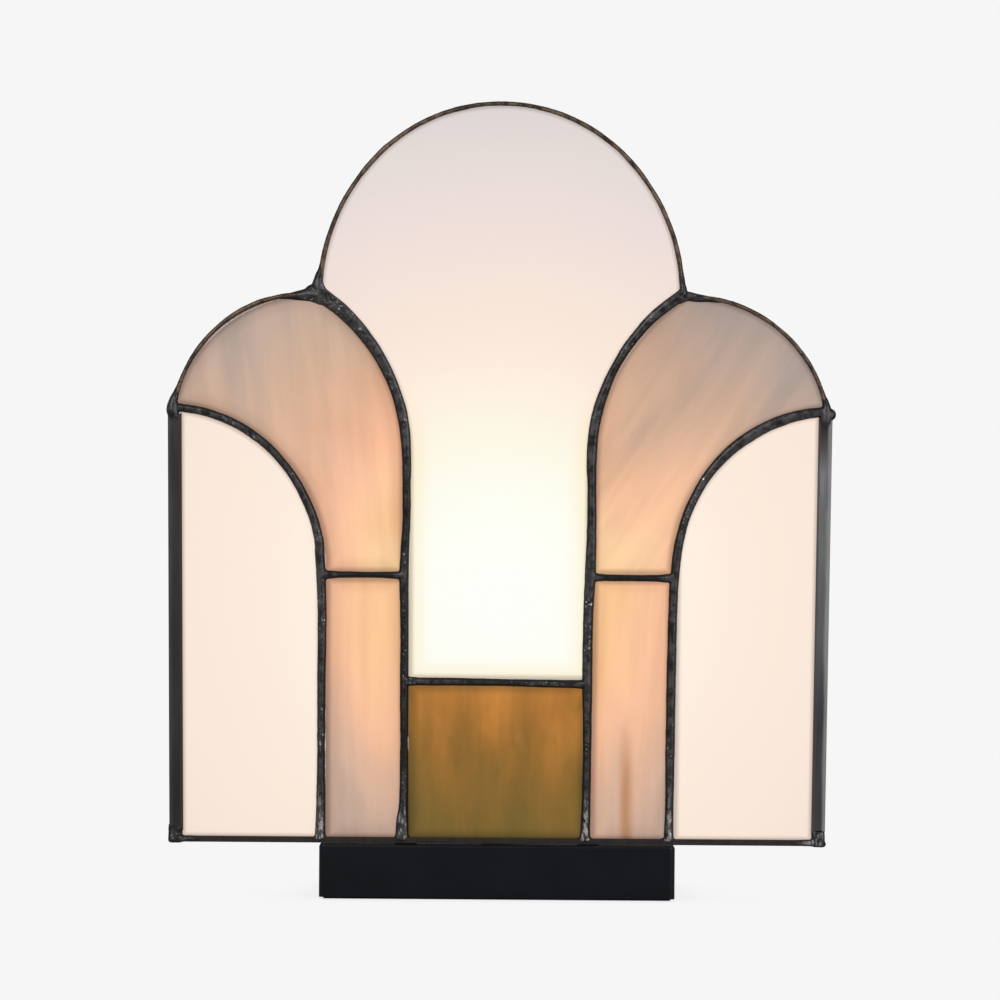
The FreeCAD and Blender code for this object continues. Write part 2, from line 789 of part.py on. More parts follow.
for side_name, side in SIDES:
    inner_x = seam_x(INNER_FOOT, INNER_BEND, SEAM_START)
    outer_x = seam_x(OUTER_FOOT, OUTER_BEND, SEAM_START)
    seam(f"seam_{side_name}_inner", inner_x, (inner_x, SEAM_START), [
        line(INNER_BEND),
        arc(CROTCH, INNER_CENTRE, INNER_RADIUS, -1),
    ], side, CLEAR[side_name][:1])
    seam(f"seam_{side_name}_outer", outer_x, (outer_x, SEAM_START), [
        line(OUTER_BEND),
        arc(CORNER, OUTER_CENTRE, OUTER_RADIUS, -1),
    ], side, CLEAR[side_name][1:2])
    bar_ends = sorted(
        [side * (INNER_BAR[0] + HALF_SEAM + 0.1), side * (OUTER_BAR[0] - HALF_SEAM - 0.1)],
        key=lambda size: size.value,
    )
    bar(f"seam_{side_name}_crossbar", *bar_ends, D["crossbar_z"], D["bar_width"])
SILL_END = INNER_SILL[0] - HALF_SEAM - 0.1
bar("seam_centre_sill", -SILL_END, SILL_END, D["sill_z"], D["bar_width"] + 0.6)


# ---------------------------------------------------------------------------------------------
# Brackets that carry the panel on the base
# ---------------------------------------------------------------------------------------------
BRACKET_FRONT = D["panel_y"] + FACE + D["seam_rise"]
BRACKET_SCREW_Y = BRACKET_FRONT + D["bracket_reach"] * 0.6
brackets, bracket_screws, bracket_nuts = [], [], []
for side_name, side in SIDES:
    spot = side * seam_x(INNER_FOOT, INNER_BEND, SEAM_START)
    body = new_body(f"{side_name}_bracket")
    profile = body_sketch(body, "Angle", "YZ_Plane")
    draw(profile, *polygon([
        (BRACKET_FRONT, D["base_top"]),
        (BRACKET_FRONT + D["bracket_reach"], D["base_top"]),
        (BRACKET_FRONT + D["bracket_reach"], D["base_top"] + D["bracket_thick"]),
        (BRACKET_FRONT + D["bracket_thick"], D["base_top"] + D["bracket_thick"]),
        (BRACKET_FRONT + D["bracket_thick"], D["base_top"] + D["bracket_height"]),
        (BRACKET_FRONT, D["base_top"] + D["bracket_height"]),
    ]))
    pad(body, profile, D["bracket_width"], midplane=True)
    hole = body_sketch(body, "Hole", "XY_Plane", D["base_top"])
    draw_circle(hole, (0, BRACKET_SCREW_Y), D["screw_hole"])
    pocket(body, hole, D["bracket_thick"] + 1, upwards=True)
    place(body, x=spot)
    brackets.append(body)
    top = D["base_top"] + D["bracket_thick"]
    bracket_screws.append(screw(spot, BRACKET_SCREW_Y, top, Size(8)))
    bracket_nuts.append(nut(D["nut_flats"], D["nut_height"], D["screw_radius"], spot,
                            BRACKET_SCREW_Y, D["base_top"] - D["base_wall"] - D["nut_height"]))
keep(group(*brackets), "panel_brackets")
keep(group(*bracket_screws), "bracket_screws")
keep(group(*bracket_nuts), "bracket_nuts")


# ---------------------------------------------------------------------------------------------
# Base: steel shell, posts, floor plate, felt and ballast
# ---------------------------------------------------------------------------------------------
def base_rectangle(sketch, inset):
    half_x = D["base_width"] / 2 - inset
    half_y = D["base_depth"] / 2 - inset
    draw(sketch, *rectangle(-half_x, D["base_y"] - half_y, half_x, D["base_y"] + half_y))


def base_shell():
    body = new_body("base_shell")
    outer = body_sketch(body, "Outer", "XY_Plane", D["base_lift"])
    base_rectangle(outer, Size(0))
    box = pad(body, outer, D["base_top"] - D["base_lift"])
    corners = rounded(body, box, is_upright, D["base_corner"])
    DOC.recompute()
    crown = rounded(
        body, corners,
        lambda e: all(abs(v.Point.z - D["base_top"].value) < 1e-6 for v in e.Vertexes),
        D["base_edge"],
    )
    DOC.recompute()
    inner = body_sketch(body, "Inner", "XY_Plane", D["base_lift"])
    base_rectangle(inner, D["base_wall"])
    hollow = pocket(body, inner, D["base_top"] - D["base_lift"] - D["base_wall"], upwards=True)
    DOC.recompute()
    body.Tip = rounded(
        body, hollow,
        lambda e: is_upright(e) and e.Curve.TypeId == "Part::GeomLine"
        and abs(abs(e.Vertexes[0].Point.x) - (D["base_width"] / 2 - D["base_wall"]).value) < 1e-6,
        D["base_corner"] - D["base_wall"],
    )
    holes = body_sketch(body, "Holes", "XY_Plane", D["base_top"] + 1)
    draw_circle(holes, (0, D["lamp_y"]), D["hub_bore"])
    for side_name, side in SIDES:
        spot = side * seam_x(INNER_FOOT, INNER_BEND, SEAM_START)
        draw_circle(holes, (spot, BRACKET_SCREW_Y), D["screw_hole"])
    pocket(body, holes, D["base_wall"] + 2, upwards=False)
    inlet = body_sketch(body, "Inlet", "XZ_Plane", -(D["base_y"] + D["base_depth"] / 2 + 1))
    draw_circle(inlet, (D["gland_x"], D["gland_z"]), D["gland_radius"])
    pocket(body, inlet, D["base_wall"] + 2, upwards=True)
    return keep(body, "base_shell")


base_shell()
ROOF = D["base_top"] - D["base_wall"]
FELT_TOP = D["felt_thick"]
FLOOR_TOP = D["felt_thick"] + D["floor_thick"]
POSTS = [(sx * D["post_x"], D["base_y"] + sy * D["post_y"]) for sx in (-1, 1) for sy in (-1, 1)]


def floor_plate():
    body = new_body("base_floor")
    sketch = body_sketch(body, "Plate", "XY_Plane", FELT_TOP)
    base_rectangle(sketch, D["base_wall"] + D["floor_gap"])
    plate = pad(body, sketch, D["floor_thick"])
    rounded(body, plate, is_upright, D["base_corner"] - D["base_wall"])
    holes = body_sketch(body, "Holes", "XY_Plane", FLOOR_TOP + 1)
    for x, y in POSTS:
        draw_circle(holes, (x, y), D["screw_hole"])
    pocket(body, holes, D["floor_thick"] + 2, upwards=False)
    return keep(body, "base_floor")


def felt():
    body = new_body("base_felt")
    sketch = body_sketch(body, "Felt", "XY_Plane")
    base_rectangle(sketch, D["base_wall"] + D["floor_gap"] + 0.5)
    sheet = pad(body, sketch, D["felt_thick"])
    rounded(body, sheet, is_upright, D["base_corner"] - D["base_wall"])
    holes = body_sketch(body, "Holes", "XY_Plane", FELT_TOP + 1)
    for x, y in POSTS:
        draw_circle(holes, (x, y), D["head_radius"] + 0.8)
    pocket(body, holes, D["felt_thick"] + 2, upwards=False)
    return keep(body, "base_felt")


floor_plate()
felt()
SUNK_HEAD = Size(0.7)
posts, floor_screws = [], []
for x, y in POSTS:
    pillar = cylinder(D["post_radius"], ROOF - FLOOR_TOP, x, y, FLOOR_TOP)
    bore = cylinder(D["screw_radius"], Size(8), x, y, FLOOR_TOP - 1)
    posts.append(cut(pillar, bore))
    head = cylinder(D["head_radius"], SUNK_HEAD, x, y, FELT_TOP - SUNK_HEAD)
    thread = cylinder(D["screw_radius"], D["floor_thick"] + 6, x, y, FELT_TOP)
    floor_screws.append(fused(head, thread))
keep(group(*posts), "base_posts")
keep(group(*floor_screws), "floor_screws")
keep(
    block(D["ballast_width"], D["ballast_depth"], D["ballast_thick"], D["ballast_x"],
          D["ballast_y"], FLOOR_TOP),
    "base_ballast",
)


# ---------------------------------------------------------------------------------------------
# Threaded tube, its nut and washer, and the collar under the lampholder
# ---------------------------------------------------------------------------------------------
Y0 = D["lamp_y"]


def tube_profile(inner, outer, z0, z1):
    return polygon([(inner, z0), (outer, z0), (outer, z1), (inner, z1)])


turned("threaded_tube", *tube_profile(D["nipple_bore"], D["nipple_radius"], D["nipple_foot"],
                                      D["nipple_top"]), Y0)
turned("tube_washer", *tube_profile(D["hub_bore"], D["washer_radius"], ROOF - D["washer_thick"],
                                    ROOF), Y0)
NUT_Z = ROOF - D["washer_thick"] - D["tube_nut_height"]
keep(nut(D["tube_nut_flats"], D["tube_nut_height"], D["nipple_radius"], Size(0), Y0, NUT_Z),
     "tube_nut")
COLLAR_TOP = D["base_top"] + D["collar_height"]
turned("holder_collar", *polygon([
    (D["hub_bore"], D["base_top"]),
    (D["collar_radius"], D["base_top"]),
    (D["collar_radius"], D["base_top"] + 2),
    (D["collar_radius"] - 2, D["base_top"] + 3),
    (D["collar_radius"] - 2, COLLAR_TOP),
    (D["hub_bore"], COLLAR_TOP),
]), Y0)


# ---------------------------------------------------------------------------------------------
# Lampholder
# ---------------------------------------------------------------------------------------------
CUP_TOP = COLLAR_TOP + D["cup_height"]
WALL = D["holder_wall"]
R_HOLDER = D["holder_radius"]
turned("holder_cup", (D["nipple_radius"], COLLAR_TOP), [
    line((D["collar_radius"], COLLAR_TOP)),
    line((R_HOLDER, CUP_TOP - 8)),
    line((R_HOLDER, CUP_TOP)),
    line((R_HOLDER - WALL, CUP_TOP)),
    line((R_HOLDER - WALL, CUP_TOP - 8)),
    line((D["collar_radius"], COLLAR_TOP + 2.6)),
    line((D["collar_radius"] - 1, COLLAR_TOP + 8)),
    line((D["nipple_radius"], COLLAR_TOP + 8)),
    line((D["nipple_radius"], COLLAR_TOP)),
], Y0)
MOUTH_BORE = D["shell_radius"] + D["shell_wall"] + 0.3
turned("holder_barrel", (R_HOLDER - WALL, CUP_TOP), [
    line((R_HOLDER, CUP_TOP)),
    line((R_HOLDER, CUP_TOP + 10)),
    line((D["holder_mouth"], CUP_TOP + 13)),
    line((D["holder_mouth"], D["holder_top"])),
    line((MOUTH_BORE, D["holder_top"])),
    line((MOUTH_BORE, CUP_TOP + 10)),
    line((R_HOLDER - WALL, CUP_TOP + 8)),
    line((R_HOLDER - WALL, CUP_TOP)),
], Y0)
BLOCK_TOP = D["contact_z"] - 2
BLOCK_FOOT = BLOCK_TOP - D["block_height"]
CONTACT_BLOCK = cylinder(R_HOLDER - WALL - 0.3, D["block_height"], Size(0), Y0, BLOCK_FOOT)
TERMINAL_X = Size(10)
terminal_wells = [
    cylinder(1.5, Size(5), sx * TERMINAL_X, Y0 + sx * D["wire_spacing"] / 2, BLOCK_FOOT - 1)
    for sx in (-1, 1)
]
keep(cut(CONTACT_BLOCK, *terminal_wells), "holder_contact_block")
keep(
    fused(
        block(Size(14), Size(5), Size(0.5), Size(0), Y0, BLOCK_TOP),
        block(Size(8), Size(5), Size(1.5), Size(0), Y0, BLOCK_TOP + 0.5),
    ),
    "holder_centre_contact",
)
SHELL_FOOT = BLOCK_TOP + 2.8
turned("holder_screw_shell", *tube_profile(D["shell_radius"], D["shell_radius"] + D["shell_wall"],
                                           SHELL_FOOT, SHELL_FOOT + D["shell_height"]), Y0)


# ---------------------------------------------------------------------------------------------
# Bulb: tip, insulator, cap, glass, stem and filaments
# ---------------------------------------------------------------------------------------------
TIP_TOP = D["contact_z"] + D["tip_height"]
CAP_FOOT = TIP_TOP + D["insulator_height"]
CAP_TOP = CAP_FOOT + D["cap_height"]
CAP_BORE = D["cap_radius"] - D["cap_wall"]
turned("bulb_tip", *polygon([
    (Size(0), D["contact_z"]), (D["tip_radius"] - 1, D["contact_z"]), (D["tip_radius"], TIP_TOP),
    (Size(0), TIP_TOP),
]), Y0)
turned("bulb_insulator", *polygon([
    (Size(0), TIP_TOP), (D["tip_radius"] + 1, TIP_TOP), (D["cap_radius"] - 2, CAP_FOOT),
    (Size(0), CAP_FOOT),
]), Y0)
turned("bulb_cap", *polygon([
    (D["tip_radius"], CAP_FOOT), (D["cap_radius"] - 1, CAP_FOOT), (D["cap_radius"], CAP_FOOT + 1),
    (D["cap_radius"], CAP_TOP), (CAP_BORE, CAP_TOP), (CAP_BORE, CAP_FOOT + 1.2),
    (D["tip_radius"], CAP_FOOT + 1.2),
]), Y0)


def bulb_glass():
    """An A60 globe.  A hollow arc leads from the neck into the round globe, tangent to both."""
    neck, neck_z = D["neck_radius"], D["neck_z"]
    globe, globe_z, wall = D["globe_radius"], D["globe_z"], D["bulb_wall"]
    fall = globe_z - neck_z
    flare = (neck * neck + fall * fall - globe * globe) / (2 * (globe - neck))
    centre = (neck + flare, neck_z)
    reach = globe + flare

    def touch(radius):
        return (radius * (neck + flare) / reach, globe_z - radius * fall / reach)

    return turned("bulb_glass", (neck - wall, CAP_TOP - 4), [
        line((neck, CAP_TOP - 4)),
        line((neck, neck_z)),
        arc(touch(globe), centre, flare, -1),
        arc((Size(0), globe_z + globe), (Size(0), globe_z), globe, 1),
        line((Size(0), globe_z + globe - wall)),
        arc(touch(globe - wall), (Size(0), globe_z), globe - wall, -1),
        arc((neck - wall, neck_z), centre, flare + wall, 1),
        line((neck - wall, CAP_TOP - 4)),
    ], Y0)


bulb_glass()
STEM_FOOT = CAP_TOP - 4
turned("bulb_stem", *polygon([
    (Size(0), STEM_FOOT), (D["neck_radius"] - D["bulb_wall"] - 0.2, STEM_FOOT),
    (D["neck_radius"] - D["bulb_wall"] - 0.2, STEM_FOOT + 1), (Size(3), STEM_FOOT + 8),
    (Size(2), STEM_FOOT + 28), (Size(0), STEM_FOOT + 28),
]), Y0)
FILAMENT_RING = Size(8)
FILAMENT_FOOT = D["globe_z"] - 19
filaments = [
    cylinder(0.9, Size(38), sx * FILAMENT_RING, Y0 + sy * FILAMENT_RING, FILAMENT_FOOT)
    for sx, sy in ((1, 0), (-1, 0), (0, 1), (0, -1))
]
keep(group(*filaments), "bulb_filaments")


# ---------------------------------------------------------------------------------------------
# Wiring inside the lamp and the cord inlet
# ---------------------------------------------------------------------------------------------
def wire(label, lane):
    """From the terminal block, along the floor, up the threaded tube and out to a terminal."""
    y = Y0 + lane * D["wire_spacing"] / 2
    bend, turn = D["wire_bend"], D["wire_turn"]
    level, terminal_z = D["wire_z"], BLOCK_FOOT - 2.5
    side_x = lane * TERMINAL_X
    path = DOC.addObject("Sketcher::SketchObject", f"{label}_path")
    place(path, y=y, turn=UPRIGHT)
    draw(path, (D["block_x"] + 6, level), [
        line((bend, level)),
        arc((Size(0), level + bend), (bend, level + bend), bend, -1),
        line((Size(0), terminal_z - turn)),
        arc((lane * turn, terminal_z), (lane * turn, terminal_z - turn), turn, -lane),
        line((side_x - lane * turn * 0.6, terminal_z)),
        arc((side_x, terminal_z + turn * 0.6), (side_x - lane * turn * 0.6, terminal_z + turn * 0.6),
            turn * 0.6, lane),
        line((side_x, BLOCK_FOOT + 3)),
    ], closed=False)
    section = DOC.addObject("Sketcher::SketchObject", f"{label}_section")
    place(section, D["block_x"] + 6, y, level, SIDEWAYS)
    draw_circle(section, (Size(0), Size(0)), D["wire_radius"])
    return keep(swept(path, section), label)


wire("wire_live", 1)
wire("wire_neutral", -1)

TERMINAL_LENGTH = Size(22)
pole_bores = []
for lane in (-1, 1):
    pole_y = Y0 + lane * D["wire_spacing"] / 2
    pole_bores.append(cylinder(1.4, TERMINAL_LENGTH + 2, D["block_x"] - 1, pole_y, D["wire_z"],
                               SIDEWAYS))
BLOCK_BODY = block(TERMINAL_LENGTH, Size(14), Size(11), D["block_x"] + TERMINAL_LENGTH / 2, Y0,
                   FLOOR_TOP)
keep(cut(BLOCK_BODY, *pole_bores), "terminal_block")
terminal_screws = [
    cylinder(1.3, Size(3), D["block_x"] + step, Y0 + lane * 4, FLOOR_TOP + 11)
    for step in (5, 17) for lane in (-1, 1)
]
keep(group(*terminal_screws), "terminal_screws")

REAR = D["base_y"] + D["base_depth"] / 2


def tube_along_y(radius, bore, y0, length):
    """A tube that lies front to back at the cord inlet."""
    body = cylinder(radius, length, D["gland_x"], y0, D["gland_z"], ACROSS)
    hole = cylinder(bore, length + 2, D["gland_x"], y0 - 1, D["gland_z"], ACROSS)
    return body, hole


barrel, hole = tube_along_y(D["gland_radius"] - 0.1, D["gland_bore"], REAR - 9, Size(11))
flange, flange_hole = tube_along_y(D["gland_flange"], D["gland_bore"], REAR, Size(2))
keep(cut(fused(barrel, flange), hole), "cord_gland")
lock = DOC.addObject("Part::Prism", "Locknut")
lock.Polygon = 6
bind(lock, "Circumradius", (D["gland_flange"] + 0.5))
bind(lock, "Height", Size(3))
place(lock, D["gland_x"], REAR - D["base_wall"] - 3, D["gland_z"], ACROSS)
keep(cut(lock, tube_along_y(D["gland_radius"], D["gland_radius"] - 0.1,
                            REAR - D["base_wall"] - 3, Size(3))[1]), "gland_nut")


# ---------------------------------------------------------------------------------------------
# Check and export
# ---------------------------------------------------------------------------------------------
DOC.recompute()
faults = [o.Name for o in DOC.Objects if {"Invalid", "Error"} & set(o.State)]
if faults:
    raise RuntimeError(f"these objects failed to compute: {faults}")
os.makedirs("parts", exist_ok=True)
for thing in PARTS:
    shape = thing.Shape
    if shape.isNull() or not shape.isValid() or not shape.Solids:
        raise RuntimeError(f"{thing.Label} has no valid solid")
    shape.exportStep(f"parts/{thing.Label}.step")
print(f"{len(PARTS)} sub-parts written")
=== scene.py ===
import math

import bmesh
import bpy
from mathutils import Matrix, Vector, kdtree


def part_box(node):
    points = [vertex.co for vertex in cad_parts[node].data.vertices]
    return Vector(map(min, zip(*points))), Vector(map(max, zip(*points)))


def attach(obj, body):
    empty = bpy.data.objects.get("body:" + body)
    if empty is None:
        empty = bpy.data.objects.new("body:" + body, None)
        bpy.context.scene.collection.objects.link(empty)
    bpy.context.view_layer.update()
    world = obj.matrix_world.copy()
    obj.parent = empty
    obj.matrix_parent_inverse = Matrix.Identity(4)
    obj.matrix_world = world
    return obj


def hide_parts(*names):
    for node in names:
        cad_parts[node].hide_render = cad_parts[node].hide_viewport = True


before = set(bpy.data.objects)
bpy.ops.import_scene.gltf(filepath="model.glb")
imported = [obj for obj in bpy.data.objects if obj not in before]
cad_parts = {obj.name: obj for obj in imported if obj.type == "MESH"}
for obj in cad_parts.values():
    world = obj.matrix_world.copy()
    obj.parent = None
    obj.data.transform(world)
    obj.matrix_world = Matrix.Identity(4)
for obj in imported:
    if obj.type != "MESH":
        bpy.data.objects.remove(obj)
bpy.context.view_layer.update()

MM = 0.001

# The plane in the middle of the glass, and how far the foiled glass reaches on each side of it
MIDDLE = sum(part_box("glass_centre_dome")[i].y for i in (0, 1)) / 2
FACE = 1.65 * MM

# Where the bulb glows behind the glass, as x and z
GLOW_X, GLOW_Z = 0.0, 0.139


def srgb(red, green, blue):
    """A colour given as a screen shows it, 0 to 255, as the linear values that Blender uses."""
    linear = []
    for value in (red, green, blue):
        level = value / 255
        linear.append(level / 12.92 if level <= 0.04045 else ((level + 0.055) / 1.055) ** 2.4)
    return (*linear, 1.0)


# ---------------------------------------------------------------------------------------------
# Node trees
# ---------------------------------------------------------------------------------------------
class Tree:
    """Adds nodes to a shader tree, left to right."""

    def __init__(self, tree):
        self.tree = tree
        self.count = 0

    def add(self, kind, **settings):
        node = self.tree.nodes.new(kind)
        node.location = (220 * self.count, 0)
        self.count += 1
        for name, value in settings.items():
            setattr(node, name, value)
        return node

    def feed(self, socket, value):
        """Links a socket to another, or sets its plain value."""
        if isinstance(value, bpy.types.NodeSocket):
            self.tree.links.new(value, socket)
        elif value is not None:
            socket.default_value = value

    def maths(self, operation, first, second=None, clamp=False):
        node = self.add("ShaderNodeMath", operation=operation, use_clamp=clamp)
        self.feed(node.inputs[0], first)
        self.feed(node.inputs[1], second)
        return node.outputs[0]

    def times(self, first, second, clamp=False):
        return self.maths("MULTIPLY", first, second, clamp)

    def plus(self, first, second):
        return self.maths("ADD", first, second)

    def minus(self, first, second, clamp=False):
        return self.maths("SUBTRACT", first, second, clamp)

    def over(self, first, second):
        return self.maths("DIVIDE", first, second)

    def unsigned(self, number):
        return self.maths("ABSOLUTE", number)

    def wander(self, noise, reach):
        """A noise as a number that strays from 0 by up to half of reach."""
        return self.times(self.minus(noise, 0.5), reach)

    def between(self, value, low, high, to_low=0.0, to_high=1.0, smooth=True):
        """Maps low..high to to_low..to_high and holds it there."""
        node = self.add("ShaderNodeMapRange")
        node.interpolation_type = "SMOOTHSTEP" if smooth else "LINEAR"
        for name, number in (("From Min", low), ("From Max", high),
                             ("To Min", to_low), ("To Max", to_high)):
            self.feed(node.inputs[name], number)
        self.feed(node.inputs["Value"], value)
        return node.outputs["Result"]

    def vector(self, operation, first, second=None):
        node = self.add("ShaderNodeVectorMath", operation=operation)
        self.feed(node.inputs[0], first)
        self.feed(node.inputs[1], second)
        return node.outputs["Value"] if operation == "LENGTH" else node.outputs["Vector"]

    def scaled(self, where, scale):
        return self.vector("MULTIPLY", where, scale)

    def turned(self, where, angle):
        """A place turned about the y axis, by an angle in degrees."""
        node = self.add("ShaderNodeMapping", vector_type="POINT")
        self.feed(node.inputs["Vector"], where)
        node.inputs["Rotation"].default_value = (0, math.radians(angle), 0)
        return node.outputs["Vector"]

    def axes(self, where):
        """The x, y and z of a place."""
        node = self.add("ShaderNodeSeparateXYZ")
        self.feed(node.inputs[0], where)
        return tuple(node.outputs)

    def here(self):
        return self.add("ShaderNodeTexCoord").outputs["Object"]

    def noise(self, where, scale, detail=3.0, roughness=0.5, distortion=0.0):
        node = self.add("ShaderNodeTexNoise")
        self.feed(node.inputs["Vector"], where)
        for name, number in (("Scale", scale), ("Detail", detail), ("Roughness", roughness),
                             ("Distortion", distortion)):
            self.feed(node.inputs[name], number)
        return node.outputs["Fac"]

    def mix(self, share, under, over, blend="MIX"):
        node = self.add("ShaderNodeMix", data_type="RGBA", blend_type=blend)
        self.feed(node.inputs["Factor"], share)
        self.feed(node.inputs[6], under)
        self.feed(node.inputs[7], over)
        return node.outputs[2]

    def tint(self, colour, shade, share=1.0):
        """Multiplies a colour by a shade, as far as share says."""
        return self.mix(share, colour, shade, "MULTIPLY")

    def grey(self, level):
        """A grey from a number."""
        node = self.add("ShaderNodeCombineColor")
        for socket in node.inputs[:3]:
            self.feed(socket, level)
        return node.outputs[0]

    def ramp(self, value, stops):
        """A colour ramp through (place, colour) stops."""
        node = self.add("ShaderNodeValToRGB")
        ramp = node.color_ramp
        while len(ramp.elements) > 1:
            ramp.elements.remove(ramp.elements[-1])
        ramp.elements[0].position, ramp.elements[0].color = stops[0]
        for place, colour in stops[1:]:
            ramp.elements.new(place).color = colour
        self.feed(node.inputs["Fac"], value)
        return node.outputs["Color"]

    def bump(self, height, strength, distance):
        node = self.add("ShaderNodeBump")
        node.inputs["Strength"].default_value = strength
        node.inputs["Distance"].default_value = distance
        self.feed(node.inputs["Height"], height)
        return node.outputs["Normal"]

    def group(self, shared, **inputs):
        node = self.add("ShaderNodeGroup", node_tree=shared)
        for name, value in inputs.items():
            self.feed(node.inputs[name.title()], value)
        return node.outputs


def shared_group(name, inputs, outputs):
    """An empty node group.  Inputs are (name, kind, value) and outputs are (name, kind)."""
    shared = bpy.data.node_groups.new(name, "ShaderNodeTree")
    for label, kind, value in inputs:
        socket = shared.interface.new_socket(label, in_out="INPUT", socket_type=f"NodeSocket{kind}")
        if value is not None:
            socket.default_value = value
    for label, kind in outputs:
        shared.interface.new_socket(label, in_out="OUTPUT", socket_type=f"NodeSocket{kind}")
    tree = Tree(shared)
    start = tree.add("NodeGroupInput")
    end = shared.nodes.new("NodeGroupOutput")
    return shared, tree, start.outputs, end.inputs


def material(name):
    """A new material, the tree to add to and its Principled shader."""
    made = bpy.data.materials.new(name)
    made.use_nodes = True
    shader = made.node_tree.nodes["Principled BSDF"]
    return made, Tree(made.node_tree), shader


# Distance from the glowing bulb, seen square to the glass, in metres
glow_group, tree, inside, outside = shared_group(
    "distance_from_bulb", [("Place", "Vector", None)], [("Distance", "Float")]
)
offset = tree.vector("SUBTRACT", inside["Place"], (GLOW_X, 0, GLOW_Z))
tree.feed(outside["Distance"], tree.vector("LENGTH", tree.scaled(offset, (1, 0, 1))))

# Streaks drawn into the glass when it was rolled: broad wisps, fine lines and soft clouds
streak_group, tree, inside, outside = shared_group(
    "glass_streaks",
    [("Place", "Vector", None), ("Broad", "Float", 40.0), ("Fine", "Float", 160.0),
     ("Seed", "Float", 0.0)],
    [("Wisps", "Float"), ("Lines", "Float"), ("Clouds", "Float")],
)
seeded = tree.add("ShaderNodeCombineXYZ")
tree.feed(seeded.inputs["Y"], inside["Seed"])
moved = tree.vector("ADD", inside["Place"], seeded.outputs["Vector"])
drawn = tree.scaled(moved, (1.0, 1.0, 0.22))
tree.feed(outside["Wisps"], tree.noise(drawn, inside["Broad"], 3.0, 0.5, 0.35))
drawn_thin = tree.scaled(moved, (1.0, 1.0, 0.1))
tree.feed(outside["Lines"], tree.noise(drawn_thin, inside["Fine"], 4.0, 0.6, 0.2))
tree.feed(outside["Clouds"], tree.noise(moved, tree.times(inside["Broad"], 0.5), 2.0, 0.5, 0.6))

# The shade along the edges of a pane, where the solder and the channels keep the light away
edge_group, tree, inside, outside = shared_group(
    "pane_edge", [("Width", "Float", 0.0024)], [("Shade", "Float")]
)
edge = tree.add("ShaderNodeAttribute", attribute_name="edge")
clear = tree.between(edge.outputs["Fac"], -0.0004, inside["Width"])
tree.feed(outside["Shade"], tree.minus(1.0, clear, clamp=True))

# The rolled surface of sheet glass
surface_group, tree, inside, outside = shared_group(
    "rolled_surface", [("Place", "Vector", None), ("Scale", "Float", 60.0)],
    [("Height", "Float"), ("Roughness", "Float")],
)
slow = tree.noise(inside["Place"], inside["Scale"], 2.0, 0.5, 0.4)
small = tree.noise(inside["Place"], tree.times(inside["Scale"], 9.0), 2.0, 0.5)
tree.feed(outside["Height"], tree.plus(slow, tree.times(small, 0.12)))
tree.feed(outside["Roughness"], tree.between(small, 0.3, 0.7, 0.10, 0.24))

# Black patina on solder: dark beside the glass and a lighter grey on the crown, partly worn and
# partly a painted sheen where the crown faces the light, with bright specks painted as glints,
# and with runs of bare metal where it is rubbed off.  Low and high are the depths from the middle
# of the glass where the crown starts and is full
patina_group, tree, inside, outside = shared_group(
    "patina",
    [("Place", "Vector", None), ("Dark", "Color", (0.01, 0.01, 0.01, 1)),
     ("Light", "Color", (0.05, 0.05, 0.055, 1)), ("Bright", "Color", (0.4, 0.4, 0.41, 1)),
     ("Specks", "Float", 0.5), ("Low", "Float", 0.0019), ("High", "Float", 0.0028),
     ("Bare", "Float", 0.0)],
    [("Color", "Color"), ("Roughness", "Float"), ("Height", "Float")],
)
depth = tree.unsigned(tree.minus(tree.axes(inside["Place"])[1], MIDDLE))
crown = tree.between(depth, inside["Low"], inside["High"])
cloud = tree.noise(inside["Place"], 220.0, 4.0, 0.6, 0.3)
grain = tree.noise(inside["Place"], 760.0, 3.0, 0.6)
patch = tree.noise(inside["Place"], 60.0, 2.0, 0.5)
run = tree.noise(tree.scaled(inside["Place"], (1, 1, 0.4)), 620.0, 3.0, 0.6)
# The crown is lighter partly from wear and partly as a painted sheen
worn_and_sheen = tree.times(crown, tree.between(cloud, 0.34, 0.66, 0.05, 1.0))
tone = tree.mix(worn_and_sheen, inside["Dark"], inside["Light"])
# Bright specks on the crown are painted glints
speck_glint = tree.times(tree.between(grain, 0.57, 0.70), tree.between(patch, 0.46, 0.62), clamp=True)
speck_glint = tree.times(speck_glint, tree.times(inside["Specks"], crown))
bare = tree.times(tree.between(run, 0.46, 0.62), tree.times(inside["Bare"], crown))
bright = tree.maths("MAXIMUM", speck_glint, tree.times(bare, 0.75))
tree.feed(outside["Color"], tree.mix(bright, tone, inside["Bright"]))
rough = tree.between(cloud, 0.3, 0.7, 0.32, 0.52)
tree.feed(outside["Roughness"], tree.minus(rough, tree.times(bright, 0.12)))
tree.feed(outside["Height"], tree.plus(tree.times(grain, 0.35), cloud))


# ---------------------------------------------------------------------------------------------
# Glass
# ---------------------------------------------------------------------------------------------
LIT = 0.772         # share of the glass's brightness that comes from the bulb behind it
BODY = 0.30         # share that it reflects from the room
REACH = 0.25        # distance over which the glow fades, in metres

# Shades that a pane's colour is multiplied by.  The first five paint the shade along the metal
# round a pane
OPAL_EDGE_SHADE = (0.52, 0.48, 0.48, 1)
PEACH_EDGE_SHADE = (0.50, 0.47, 0.48, 1)
PEACH_RIM_SHADE = (0.60, 0.56, 0.55, 1)
AMBER_EDGE_SHADE = (0.44, 0.50, 0.56, 1)
HONEY_EDGE_SHADE = (1.0, 0.92, 0.80, 1)
BLUE_GREY = (0.74, 0.80, 0.86, 1)
SMOKE = (0.85, 0.86, 0.88, 1)
TAN = (0.88, 0.72, 0.58, 1)
TEA = (0.72, 0.56, 0.40, 1)

